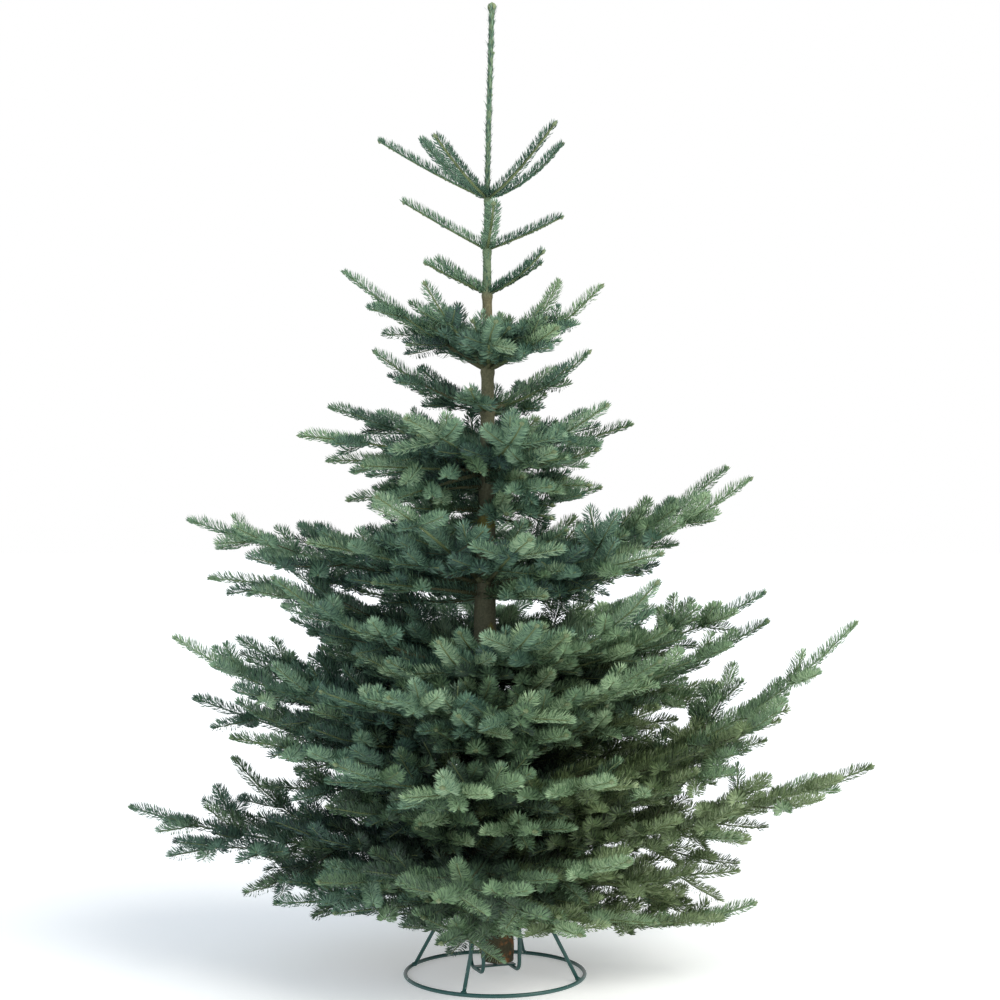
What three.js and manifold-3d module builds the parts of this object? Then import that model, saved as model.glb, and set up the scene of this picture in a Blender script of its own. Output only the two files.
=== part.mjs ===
// A two-metre cut fir on its welded wire stand, in millimetres, +Z up.
// The origin is on the floor, in the middle of the stand's base ring.
// +X is the tree's right and +Y its back. Tiers are counted from the lowest whorl upwards.

import * as THREE from 'three';
import { mergeVertices } from 'three/addons/utils/BufferGeometryUtils.js';
import Module from 'manifold-3d';

const wasm = await Module();
wasm.setup();

// ---- driving dimensions ----

const TREE_HEIGHT = 2000;
const BUTT_HEIGHT = 31; // the flat cut at the foot of the trunk, above the floor
const BUTT_RADIUS = 37;
const TOP_WHORL_HEIGHT = 1593;
const LEADER_FOOT_RADIUS = 6;
const LEADER_RADIUS = 5;
const LEADER_BUD_RADIUS = 9;
const LEADER_BUD_LENGTH = 26;
const LEADER_BUD_TIP = 0.6; // how thin the bud's end is, as a share of the leader's radius
const LEADER_BUD_RINGS = [0.7, 0.4, 0.1]; // down from the tip, as shares of the bud's length
const TRUNK_TAPER = 1.05;
const TRUNK_SIDES = 10;
const TRUNK_STEPS = 11;
// the trunk's slight bow to the left, as height and sideways place of its middle
const TRUNK_BOW = [[0, 8], [200, -8], [650, -21], [1100, -15], [1593, -16], [2000, -6]];

const WIRE = 8; // the stand's round wire
const RING_RADIUS = 183.5; // middle of the base ring's wire
const RING_SEGMENTS = 32;
const WIRE_SIDES = 6;
const WIRE_LEG_STEPS = 3;
const STAND_TURN = 65; // degrees from +X to the first corner of the cage
const STRUT_FOOT_RADIUS = 175;
const STRUT_FOOT_HEIGHT = 4.8; // middle of its wire, low in the ring's
const STRUT_FOOT_TURN = 5; // degrees that its foot and bend are turned on from its cage bar
const STRUT_BEND_RADIUS = 115;
const STRUT_BEND_HEIGHT = 118;
const STRUT_TOP_HEIGHT = 146;
const CAGE_SIDE = 78; // the square between the four upright bars
const CAGE_TOP = 262;
const CAGE_FLOOR = 14; // middle of the bars that cross under the trunk
const CAGE_CORNER = 22; // bend radius at the foot of each bar
const STRIP_WIDTH = 18;
const STRIP_THICKNESS = 3;
const SPIKE_RADIUS = 4;
const SPIKE_TAPER = 0.6; // the radius of its tip, as a share of its foot

const TOUCH_GAP = 0.4; // left between pieces that meet
const MASS_GAP = 3; // left between neighbouring masses
const LIMB_SIDES = 7;
const LIMB_STEPS = 3;
const LIMB_END_RADIUS = 5;
const LIMB_LENGTH = 95; // from the trunk's middle to the mass
const LIMB_REACH_INTO_MASS = 30;
const FAN_SIDES = 6;
const FAN_UNEVENNESS = 0.2;
const FAN_EDGE_REACH = 0.3; // how far out a mass's edge ends, as a share of its bough's reach
// A mass's thickness follows a half wave outwards, from this share of it beside the trunk to its
// end at the tip; the power makes the wave blunter.
const FAN_WAVE_START = 0.25;
const FAN_WAVE_POWER = 0.7;
const FAN_EDGE = 30; // degrees that a mass reaches past its outermost bough
const FAN_SPACE = 1.5; // degrees left beside the middle of the space to the next mass
const FAN_SHOULDER = 0.58; // how far out the mass is at its sides, as a share of the bough's reach
const FAN_FLANK = 0.76; // how far out it is where the end shoot of a bough leaves it
const END_SHOOT_HALF_WIDTH = 46; // the end shoot and the side shoots next to it
const FLANK_SHARE = 0.6; // the most of its space that the end shoot's width takes
const FOLIAGE_EDGE = 16; // half the thickness of the foliage at the end of a bough
const FOLIAGE_SWELL = 0.07; // and how much that grows inwards, for each millimetre of reach
const FOLIAGE_ABOVE = 0.6; // side shoots stand less above their bough
const FOLIAGE_BELOW = 1.5; // than they hang below it
const FOOT_CLEARANCE = 10; // between the trunk's bark and a mass
const SPRAY_SIDES = 5;
const SPRAY_RINGS = 5;
const SPRAY_HALF_WIDTH = 21; // a single shoot with its needles
const SPRAY_FLATNESS = 0.8;
const SPRAY_UNEVENNESS = 0.08;
const HALVINGS = 24; // in the search for a height on the trunk's bow
const FRAME_STEP = 0.01; // the share of a bough over which its heading is taken

// The crown, tier by tier: the height of each whorl's foot, and for each mass of foliage its
// boughs as [direction in degrees, reach, rise of the tip, slope of the foot in degrees].
// A mass with a limb of its own gives that limb's foot radius; the limb carries its first bough.
const TIERS = [
  { foot: 155, masses: {
    left: { boughs: [[195, 434, 60, -5], [222, 400, 30, -5], [258, 440, 10, -5]] },
    right: { boughs: [[-5, 531, 0, -5], [-32, 370, -5, -5], [-66, 400, 10, -8]] },
    back: { boughs: [[45, 480, 20, -5], [90, 500, 30, -5], [138, 480, 20, -5]] },
  } },
  { foot: 250, masses: {
    left: { limb: 13, boughs: [[174, 752, 80, -5], [152, 640, 150, -3]] },
    front: { boughs: [[262, 610, 30, 0], [228, 470, 10, -5], [306, 440, 50, -2]] },
    right: { limb: 13, boughs: [[-5, 770, 185, 0], [30, 660, -30, -3]] },
    back: { boughs: [[92, 600, 60, 0], [125, 580, 50, 0], [60, 560, 40, 0]] },
  } },
  { foot: 385, masses: {
    left: { limb: 13, boughs: [[166, 640, 165, 0], [205, 540, 130, 5]] },
    front: { boughs: [[262, 540, 80, 5], [235, 480, 100, 5], [300, 460, 70, 5]] },
    right: { limb: 13, boughs: [[-5, 745, 338, 5], [20, 670, 110, 5], [42, 560, 60, 5]] },
    back: { boughs: [[95, 612, 120, 10], [135, 560, 100, 5], [68, 560, 90, 5]] },
  } },
  { foot: 500, masses: {
    left: { limb: 12, boughs: [[187, 626, 195, 5], [155, 594, 170, 10]] },
    front: { boughs: [[246, 430, 110, 15], [280, 440, 90, 12]] },
    right: { limb: 12, boughs: [[-10, 570, 230, 15], [-45, 462, 170, 15], [25, 560, 70, 10]] },
    back: { boughs: [[85, 560, 150, 15], [122, 520, 140, 15]] },
  } },
  { foot: 620, masses: {
    left: { limb: 11, boughs: [[168, 590, 190, 12], [205, 452, 200, 12], [135, 540, 110, 15]] },
    right: { limb: 11, boughs: [[5, 580, 160, 8], [-40, 429, 195, 12], [-75, 380, 120, 15]] },
    back: { boughs: [[50, 560, 130, 15], [95, 520, 150, 15]] },
  } },
  { foot: 800, masses: {
    left: { limb: 10, boughs: [[176, 612, 132, 5], [148, 468, 115, 10]] },
    front: { boughs: [[238, 377, 180, 30], [285, 330, 100, 20]] },
    right: { limb: 10, boughs: [[-6, 536, 215, 8], [10, 512, 240, 12], [-32, 400, 70, 10]] },
    back: { boughs: [[45, 400, 120, 12], [92, 440, 120, 15], [122, 430, 110, 15]] },
  } },
  { foot: 955, masses: {
    left: { boughs: [[178, 226, 45, 10], [210, 175, 5, 0]] },
    right: { boughs: [[5, 230, 45, 5], [-25, 140, -15, 5]] },
  } },
  { foot: 1040, masses: {
    left: { boughs: [[192, 380, 65, 15], [162, 344, 130, 25], [240, 300, 90, 20]] },
    right: { boughs: [[2, 292, 90, 15], [-35, 285, 120, 15], [-77, 300, 80, 12]] },
    back: { boughs: [[45, 300, 125, 20], [90, 300, 100, 20], [130, 370, 125, 20]] },
  } },
  { foot: 1163, masses: {
    left: { boughs: [[186, 229, 113, 12], [135, 200, 90, 15]] },
    right: { boughs: [[-3, 204, 112, 12], [45, 200, 90, 15]] },
  } },
  { foot: 1243, masses: {
    left: { boughs: [[178, 292, 199, 30], [150, 270, 146, 25], [115, 210, 140, 25], [228, 182, 159, 35]] },
    right: { boughs: [[-8, 231, 165, 22], [48, 224, 198, 25], [-48, 200, 70, 15], [-85, 190, 80, 20]] },
  } },
  { foot: 1400, masses: {
    left: { spray: true, boughs: [[192, 124, 57, 22], [160, 105, 70, 25]] },
    right: { spray: true, boughs: [[350, 113, 80, 15], [12, 109, 62, 20]] },
  } },
  { foot: 1490, masses: {
    left: { spray: true, boughs: [[180, 167, 95, 28]] },
    right: { spray: true, boughs: [[0, 149, 65, 20]] },
    front: { spray: true, boughs: [[277, 110, 75, 30]] },
  } },
  { foot: 1595, masses: {
    left: { spray: true, boughs: [[175, 219, 119, 24]] },
    back_left: { spray: true, boughs: [[130, 215, 149, 25]] },
    front_left: { spray: true, boughs: [[232, 162, 101, 25]] },
    front_right: { spray: true, boughs: [[325, 162, 132, 25]] },
    back_right: { spray: true, boughs: [[25, 170, 123, 25]] },
  } },
];

const wood = new THREE.MeshStandardMaterial({ color: 0x5f6148, roughness: 0.9, metalness: 0 });
const foliage = new THREE.MeshStandardMaterial({ color: 0x4f6a52, roughness: 0.75, metalness: 0 });
const coatedWire = new THREE.MeshStandardMaterial({ color: 0x2c5653, roughness: 0.4, metalness: 0.1 });

// ---- solids and booleans ----

// A closed geometry becomes a solid once only the shared positions are left.
function solidOf(geometry) {
  const bare = geometry.clone();
  bare.deleteAttribute('normal');
  bare.deleteAttribute('uv');
  const merged = mergeVertices(bare, 0.001);
  return new wasm.Manifold(new wasm.Mesh({
    numProp: 3,
    vertProperties: new Float32Array(merged.attributes.position.array),
    triVerts: new Uint32Array(merged.index.array),
  }));
}

function geometryOf(solid) {
  const mesh = solid.getMesh();
  const geometry = new THREE.BufferGeometry();
  geometry.setAttribute('position', new THREE.BufferAttribute(new Float32Array(mesh.vertProperties), 3));
  geometry.setIndex(new THREE.BufferAttribute(new Uint32Array(mesh.triVerts), 1));
  geometry.computeVertexNormals();
  return geometry;
}

function largestBody(solid) {
  const bodies = solid.decompose();
  return bodies.reduce((best, body) => (body.volume() > best.volume() ? body : best));
}

// Keeps each cutter that reaches the solid's box, and takes them all away from it.
function cutBy(solid, cutters) {
  const box = solid.boundingBox();
  return cutters.reduce((left, cutter) => {
    const other = cutter.boundingBox();
    const apart = [0, 1, 2].some((k) => other.min[k] > box.max[k] || other.max[k] < box.min[k]);
    return apart ? left : left.subtract(cutter);
  }, solid);
}

function mapped(geometry, place) {
  const position = geometry.attributes.position;
  const point = new THREE.Vector3();
  for (let i = 0; i < position.count; i += 1) {
    point.fromBufferAttribute(position, i);
    place(point);
    position.setXYZ(i, point.x, point.y, point.z);
  }
  return geometry;
}

const radians = THREE.MathUtils.degToRad;

// A repeatable value from -1 to 1 for a ring and a side of one bough.
function unevenness(seed, ring, side) {
  const wave = Math.sin(seed * 12.99 + ring * 78.23 + side * 37.72) * 43758.55;
  return 2 * (wave - Math.floor(wave)) - 1;
}

// ---- trunk ----

const bowCurve = new THREE.CatmullRomCurve3(TRUNK_BOW.map(([z, x]) => new THREE.Vector3(x, 0, z)));

// The bow's sideways place at a height, found by halving along the curve.
function trunkX(height) {
  let low = 0;
  let high = 1;
  for (let i = 0; i < HALVINGS; i += 1) {
    const middle = (low + high) / 2;
    if (bowCurve.getPoint(middle).z < height) {
      low = middle;
    } else {
      high = middle;
    }
  }
  return bowCurve.getPoint(low).x;
}

// The stem tapers from the butt to the top whorl; above it the leader is nearly even.
function trunkRadius(height) {
  if (height <= TOP_WHORL_HEIGHT) {
    const up = (height - BUTT_HEIGHT) / (TOP_WHORL_HEIGHT - BUTT_HEIGHT);
    return LEADER_FOOT_RADIUS + (BUTT_RADIUS - LEADER_FOOT_RADIUS) * (1 - up) ** TRUNK_TAPER;
  }
  const toTip = TREE_HEIGHT - height;
  if (toTip < LEADER_BUD_LENGTH) {
    const across = (2 * toTip) / LEADER_BUD_LENGTH - 1;
    const round = LEADER_BUD_RADIUS * Math.sqrt(Math.max(1 - across * across, 0));
    return Math.max(round, LEADER_RADIUS * LEADER_BUD_TIP);
  }
  return LEADER_RADIUS;
}

function trunkSolid(extra = 0) {
  const profile = [new THREE.Vector2(0, BUTT_HEIGHT - extra)];
  for (let i = 0; i <= TRUNK_STEPS; i += 1) {
    const height = BUTT_HEIGHT + ((TREE_HEIGHT - LEADER_BUD_LENGTH - BUTT_HEIGHT) * i) / TRUNK_STEPS;
    profile.push(new THREE.Vector2(trunkRadius(height) + extra, i === 0 ? height - extra : height));
  }
  LEADER_BUD_RINGS.forEach((part) => {
    const height = TREE_HEIGHT - LEADER_BUD_LENGTH * part;
    profile.push(new THREE.Vector2(trunkRadius(height) + extra, height));
  });
  profile.push(new THREE.Vector2(0, TREE_HEIGHT + extra));
  const stem = new THREE.LatheGeometry(profile, TRUNK_SIDES);
  stem.rotateX(Math.PI / 2);
  mapped(stem, (point) => {
    point.x += trunkX(point.z);
  });
  return upright(stem);
}

// A lathe or a mapped solid can come out inside out; its faces are then turned round.
function upright(geometry) {
  const solid = solidOf(geometry);
  if (solid.volume() > 0) {
    return solid;
  }
  const index = geometry.index.array;
  for (let i = 0; i < index.length; i += 3) {
    [index[i], index[i + 1]] = [index[i + 1], index[i]];
  }
  return solidOf(geometry);
}

// ---- boughs and masses ----

// The path of a bough: straight out from the trunk, its height bending from the slope of its
// foot to the rise of its tip. Share 0 is on the trunk's middle line and share 1 at the tip.
function boughPoint(bough, share) {
  const along = radians(bough.direction);
  const radius = bough.reach * share;
  const footSlope = Math.tan(radians(bough.slope));
  const bend = (bough.rise / bough.reach - footSlope) * share * share;
  return new THREE.Vector3(
    trunkX(bough.foot) + radius * Math.cos(along),
    radius * Math.sin(along),
    bough.foot + bough.reach * (footSlope * share + bend),
  );
}

function boughFrame(bough, share) {
  const [ahead, behind] = [share + FRAME_STEP, share - FRAME_STEP];
  const tangent = boughPoint(bough, ahead).sub(boughPoint(bough, behind)).normalize();
  const side = new THREE.Vector3(-tangent.y, tangent.x, 0).normalize();
  const up = new THREE.Vector3().crossVectors(tangent, side);
  return { side, up };
}

// A limb runs from inside the trunk to just inside its mass, tapering all the way.
function limbSolid(bough, footRadius, extra = 0) {
  const end = (LIMB_LENGTH + LIMB_REACH_INTO_MASS + extra) / bough.reach;
  const limb = new THREE.CylinderGeometry(1, 1, 1, LIMB_SIDES, LIMB_STEPS);
  mapped(limb, (point) => {
    const part = point.y + 0.5;
    const centre = boughPoint(bough, end * part);
    const { side, up } = boughFrame(bough, end * part);
    const radius = extra + footRadius + (LIMB_END_RADIUS - footRadius) * part;
    point.copy(centre.addScaledVector(side, radius * point.x).addScaledVector(up, radius * point.z));
  });
  return upright(limb);
}

// A single shoot clad in needles: an uneven body round the shoot's path.
function spraySolid(bough, extra = 0) {
  const spray = new THREE.SphereGeometry(1, SPRAY_SIDES, SPRAY_RINGS);
  const reach = 1 + extra / bough.reach;
  mapped(spray, (point) => {
    const { ring, side, part, turn, closing } = sphereStep(point, SPRAY_RINGS, SPRAY_SIDES);
    const rough = 1 + SPRAY_UNEVENNESS * unevenness(bough.seed, ring, side);
    const wide = SPRAY_HALF_WIDTH * rough + extra;
    const frame = boughFrame(bough, reach * part);
    point.copy(boughPoint(bough, reach * part));
    point.addScaledVector(frame.side, closing * wide * Math.cos(turn));
    point.addScaledVector(frame.up, closing * wide * SPRAY_FLATNESS * Math.sin(turn));
  });
  return upright(spray);
}

// Which ring and side of a sphere a point is on, and how far the sphere has opened there.
function sphereStep(point, rings, sides) {
  const ring = Math.round(rings * (1 - Math.acos(THREE.MathUtils.clamp(point.y, -1, 1)) / Math.PI));
  const part = ring / rings;
  const closing = ring % rings === 0 ? 0 : Math.sqrt(Math.sin(Math.PI * part));
  const side = (Math.round((Math.atan2(point.z, point.x) / (2 * Math.PI)) * sides) + sides) % sides;
  return { ring, side, part, closing, turn: (side * 2 * Math.PI) / sides };
}

// The outline of a mass in plan, as directions with their reach: out to each bough's tip, in
// beside it where the side shoots end, and in again between two boughs and at both edges.
function fanOutline(boughs, [firstEdge, lastEdge]) {
  const outline = [];
  boughs.forEach((bough, i) => {
    const before = i === 0 ? firstEdge : (bough.direction - boughs[i - 1].direction) / 2;
    const after = i === boughs.length - 1 ? lastEdge : (boughs[i + 1].direction - bough.direction) / 2;
    const reach = FAN_FLANK * bough.reach;
    const flank = THREE.MathUtils.radToDeg(Math.asin(END_SHOOT_HALF_WIDTH / reach));
    const flankBefore = Math.min(flank, FLANK_SHARE * before);
    const flankAfter = Math.min(flank, FLANK_SHARE * after);
    outline.push([bough.direction - (before + flankBefore) / 2, FAN_SHOULDER * bough.reach]);
    outline.push([bough.direction - flankBefore, reach]);
    outline.push([bough.direction, bough.reach]);
    outline.push([bough.direction + flankAfter, reach]);
    if (i === boughs.length - 1) {
      outline.push([bough.direction + (after + flankAfter) / 2, FAN_SHOULDER * bough.reach]);
    }
  });
  return outline;
}

// How far a mass reaches past its first and last bough: to near the middle of the space before
// the next mass of the tier, and no further than the usual edge.
function fanEdges(boughs, tier) {
  const own = boughs.map((bough) => bough.direction);
  const all = Object.values(tier.masses).flatMap((mass) => mass.boughs);
  const others = all.map(([direction]) => direction).filter((direction) => !own.includes(direction));
  const turnTo = (direction, from, sense) => (((direction - from) * sense) % 360 + 360) % 360;
  const room = (from, sense) => Math.min(...others.map((direction) => turnTo(direction, from, sense)));
  const half = (from, sense) => Math.min(FAN_EDGE, room(from, sense) / 2 - FAN_SPACE);
  return [half(own[0], -1), half(own[own.length - 1], 1)];
}

// The height of the foliage's middle at a direction and radius: that of the boughs on either
// side, blended by how near they are.
function fanHeight(boughs, direction, radius) {
  const heightOn = (bough) => {
    const share = Math.min(radius / bough.reach, 1);
    const footSlope = Math.tan(radians(bough.slope));
    const bend = bough.rise / bough.reach - footSlope;
    return bough.foot + bough.reach * share * (footSlope + bend * share);
  };
  const next = boughs.findIndex((bough) => bough.direction >= direction);
  if (next === 0) {
    return heightOn(boughs[0]);
  }
  if (next < 0) {
    return heightOn(boughs[boughs.length - 1]);
  }
  const [a, b] = [boughs[next - 1], boughs[next]];
  const blend = (direction - a.direction) / (b.direction - a.direction);
  return THREE.MathUtils.lerp(heightOn(a), heightOn(b), blend);
}

// A mass of foliage: a closed fan that lies along its boughs. Each ring is a flat lens standing
// in one direction from the trunk, from near the bark out to the mass's outline.
function fanSolid(fan, extra = 0) {
  const { boughs, inner, reachPast, seed } = fan;
  const outline = fanOutline(boughs, reachPast);
  const rings = outline.length + 1;
  const geometry = new THREE.SphereGeometry(1, FAN_SIDES, rings);
  const [first, last] = [boughs[0], boughs[boughs.length - 1]];
  const edges = [first.direction - reachPast[0], last.direction + reachPast[1]];
  const middle = [first, last].map((bough) => inner + FAN_EDGE_REACH * bough.reach);
  const spread = THREE.MathUtils.radToDeg(extra / Math.min(...middle));
  mapped(geometry, (point) => {
    const { ring, side, turn } = sphereStep(point, rings, FAN_SIDES);
    const atEdge = ring % rings === 0;
    const edge = ring === 0 ? 0 : 1;
    const edgeOutline = [edges[edge] + (2 * edge - 1) * spread, middle[edge]];
    const [direction, reach] = atEdge ? edgeOutline : outline[ring - 1];
    const outward = (1 - Math.cos(turn)) / 2;
    const radius = atEdge ? reach : inner - extra + (reach - inner + 2 * extra) * outward;
    const uneven = 1 + FAN_UNEVENNESS * unevenness(seed, ring, side);
    const across = FAN_WAVE_START + (1 - FAN_WAVE_START) * outward;
    const swell = Math.sin(Math.PI * Math.min(across, 1)) ** FAN_WAVE_POWER;
    const share = Math.sin(turn) > 0 ? FOLIAGE_ABOVE : FOLIAGE_BELOW;
    const thick = (FOLIAGE_EDGE + FOLIAGE_SWELL * reach * swell) * uneven * share + extra;
    const height = fanHeight(boughs, direction, radius) + (atEdge ? 0 : thick * Math.sin(turn));
    const along = radians(direction);
    point.set(trunkX(boughs[0].foot) + radius * Math.cos(along), radius * Math.sin(along), height);
  });
  return upright(geometry);
}

function massBoughs(tier, mass, seed) {
  return mass.boughs.map(([direction, reach, rise, slope], i) => ({
    foot: tier.foot,
    direction,
    reach,
    rise,
    slope,
    seed: seed + i,
  }));
}

// The solids of one mass: a fan, or one spray for each shoot in the thin top of the crown.
function massSolids(mass, extra = 0) {
  if (mass.spray) {
    return mass.boughs.map((bough) => spraySolid(bough, extra));
  }
  const boughs = [...mass.boughs].sort((a, b) => a.direction - b.direction);
  const inner = mass.limb ? LIMB_LENGTH : trunkRadius(boughs[0].foot) + FOOT_CLEARANCE;
  const reachPast = fanEdges(boughs, mass.tier);
  return [fanSolid({ boughs, inner, reachPast, seed: mass.boughs[0].seed }, extra)];
}

// ---- stand ----

function ringSolid(extra = 0) {
  const half = WIRE / 2;
  const corner = (half + extra) / Math.cos(Math.PI / WIRE_SIDES);
  const profile = [];
  for (let i = 0; i <= WIRE_SIDES; i += 1) {
    const turn = (i * 2 * Math.PI) / WIRE_SIDES;
    profile.push(new THREE.Vector2(RING_RADIUS + corner * Math.cos(turn), half + corner * Math.sin(turn)));
  }
  const ring = new THREE.LatheGeometry(profile, RING_SEGMENTS);
  ring.rotateX(Math.PI / 2);
  return upright(ring);
}

// A bent wire is a row of straight and curved legs, each with an equal share of the steps.
class BentWire extends THREE.Curve {
  constructor(legs) {
    super();
    this.legs = legs;
  }

  getPoint(t, target = new THREE.Vector3()) {
    const place = t * this.legs.length;
    const leg = Math.min(Math.floor(place), this.legs.length - 1);
    return target.copy(this.legs[leg].getPoint(place - leg));
  }

  getUtoTmapping(u) {
    return u;
  }
}

function wireSection(radius) {
  const section = new THREE.Shape();
  for (let i = 0; i < WIRE_SIDES; i += 1) {
    const turn = ((i + 0.5) * 2 * Math.PI) / WIRE_SIDES;
    const x = radius * Math.cos(turn);
    const y = radius * Math.sin(turn);
    if (i === 0) {
      section.moveTo(x, y);
    } else {
      section.lineTo(x, y);
    }
  }
  section.closePath();
  return section;
}

function wireSolid(legs, extra = 0) {
  const wire = new THREE.ExtrudeGeometry(wireSection(WIRE / 2 + extra), {
    steps: legs.length * WIRE_LEG_STEPS,
    extrudePath: new BentWire(legs),
    bevelEnabled: false,
  });
  return upright(wire);
}

function polar(radius, turn, z) {
  return new THREE.Vector3(radius * Math.cos(turn), radius * Math.sin(turn), z);
}

// A strut stands on the ring, leans in and turns to its upright bar of the cage.
function strutLegs(turn) {
  const footTurn = turn + radians(STRUT_FOOT_TURN);
  const foot = polar(STRUT_FOOT_RADIUS, footTurn, STRUT_FOOT_HEIGHT);
  const bend = polar(STRUT_BEND_RADIUS, footTurn, STRUT_BEND_HEIGHT);
  const top = polar(CAGE_SIDE / Math.SQRT2 + WIRE / 2, turn, STRUT_TOP_HEIGHT);
  return [new THREE.LineCurve3(foot, bend), new THREE.LineCurve3(bend, top)];
}

// One bent bar of the cage: up on one corner, across under the trunk and up on the next corner.
function cageLegs(turnA, turnB) {
  const on = (turn, z) => polar(CAGE_SIDE / Math.SQRT2, turn, z);
  const [cornerA, cornerB] = [on(turnA, CAGE_FLOOR), on(turnB, CAGE_FLOOR)];
  const across = cornerB.clone().sub(cornerA).normalize().multiplyScalar(CAGE_CORNER);
  const [lowA, lowB] = [cornerA.clone().add(across), cornerB.clone().sub(across)];
  const [bendA, bendB] = [on(turnA, CAGE_FLOOR + CAGE_CORNER), on(turnB, CAGE_FLOOR + CAGE_CORNER)];
  return [
    new THREE.LineCurve3(on(turnA, CAGE_TOP), bendA),
    new THREE.QuadraticBezierCurve3(bendA, cornerA, lowA),
    new THREE.LineCurve3(lowA, lowB),
    new THREE.QuadraticBezierCurve3(lowB, cornerB, bendB),
    new THREE.LineCurve3(bendB, on(turnB, CAGE_TOP)),
  ];
}

// The flat strip lies on the two bars under the trunk and carries the upright spike.
function stripSolid() {
  const length = CAGE_SIDE + WIRE;
  const lowFace = CAGE_FLOOR + WIRE / 2 + TOUCH_GAP;
  const strip = new THREE.BoxGeometry(length, STRIP_WIDTH, STRIP_THICKNESS);
  strip.translate(0, 0, lowFace + STRIP_THICKNESS / 2);
  const tip = BUTT_HEIGHT - TOUCH_GAP;
  const spikeLength = tip - lowFace;
  const spike = new THREE.CylinderGeometry(
    SPIKE_RADIUS,
    SPIKE_RADIUS * SPIKE_TAPER,
    spikeLength,
    WIRE_SIDES,
  );
  spike.rotateX(-Math.PI / 2);
  spike.translate(0, 0, lowFace + spikeLength / 2);
  const turned = solidOf(strip).add(upright(spike));
  return turned.rotate([0, 0, STAND_TURN - 45]);
}

// ---- assembly ----

const tree = new THREE.Group();

function addPart(name, solid, material) {
  const mesh = new THREE.Mesh(geometryOf(solid), material);
  mesh.name = name;
  tree.add(mesh);
}

const corners = [0, 1, 2, 3].map((k) => radians(STAND_TURN + 90 * k));
const strutNames = ['back_right', 'back_left', 'front_left', 'front_right'];

const ring = ringSolid();
const leftBar = cageLegs(corners[1], corners[2]);
const rightBar = cageLegs(corners[3], corners[0]);
addPart('base_ring', ring, coatedWire);
addPart('cage_bar_left', wireSolid(leftBar), coatedWire);
addPart('cage_bar_right', wireSolid(rightBar), coatedWire);
addPart('base_strip', stripSolid(), coatedWire);
addPart('trunk', trunkSolid(), wood);

const barCutters = [wireSolid(leftBar, TOUCH_GAP), wireSolid(rightBar, TOUCH_GAP)];
const ringCutter = ringSolid(TOUCH_GAP);
corners.forEach((turn, i) => {
  const strut = cutBy(wireSolid(strutLegs(turn)), [ringCutter, ...barCutters]);
  addPart(`strut_${strutNames[i]}`, largestBody(strut), coatedWire);
});
const strutCutters = corners.map((turn) => wireSolid(strutLegs(turn), MASS_GAP));

const stemCutter = trunkSolid(TOUCH_GAP);
const tiers = TIERS.map((tier, t) => ({
  label: String(t + 1).padStart(2, '0'),
  masses: Object.entries(tier.masses).map(([place, mass], m) => ({
    place,
    limb: mass.limb,
    spray: mass.spray,
    tier,
    boughs: massBoughs(tier, mass, 10 * t + 3 * m + 1),
  })),
}));

const limbCutters = [];
tiers.forEach(({ label, masses }) => {
  masses.filter(({ limb }) => limb).forEach(({ place, limb, boughs }) => {
    const solid = cutBy(limbSolid(boughs[0], limb), [stemCutter, ...limbCutters]);
    addPart(`bough_${label}_${place}`, largestBody(solid), wood);
    limbCutters.push(limbSolid(boughs[0], limb, TOUCH_GAP));
  });
});

const standCutters = [...barCutters, ...strutCutters];
const massCutters = [];
tiers.forEach(({ label, masses }) => {
  masses.forEach((mass) => {
    const whole = massSolids(mass).reduce((sum, solid) => sum.add(solid));
    const solid = cutBy(whole, [stemCutter, ...standCutters, ...limbCutters, ...massCutters]);
    addPart(`foliage_${label}_${mass.place}`, largestBody(solid), foliage);
    massCutters.push(...massSolids(mass, MASS_GAP));
  });
});

export default tree;
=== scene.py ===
import math

import bpy
import numpy as np
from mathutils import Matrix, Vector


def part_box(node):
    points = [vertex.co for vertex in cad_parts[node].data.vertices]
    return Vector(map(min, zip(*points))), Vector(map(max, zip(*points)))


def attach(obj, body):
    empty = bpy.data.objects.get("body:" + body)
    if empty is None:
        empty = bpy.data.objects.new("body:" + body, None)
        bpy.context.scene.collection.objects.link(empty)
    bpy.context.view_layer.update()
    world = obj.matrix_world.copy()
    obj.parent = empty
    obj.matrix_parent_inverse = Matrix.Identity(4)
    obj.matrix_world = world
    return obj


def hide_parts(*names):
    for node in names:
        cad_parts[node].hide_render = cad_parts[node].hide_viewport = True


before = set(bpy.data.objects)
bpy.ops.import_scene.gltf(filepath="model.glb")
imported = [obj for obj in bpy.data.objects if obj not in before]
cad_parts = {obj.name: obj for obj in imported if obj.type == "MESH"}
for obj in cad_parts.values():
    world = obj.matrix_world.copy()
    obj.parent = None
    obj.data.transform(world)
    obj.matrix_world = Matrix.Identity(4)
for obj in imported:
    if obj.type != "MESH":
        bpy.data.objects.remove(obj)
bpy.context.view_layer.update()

# A cut fir on its welded wire stand, in metres. Every bough starts from a mass of the frame and
# is grown on by one branching rule: a main limb, side branches, side shoots, needles and buds.

SEED = 729

# ---- named sizes ----

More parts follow.
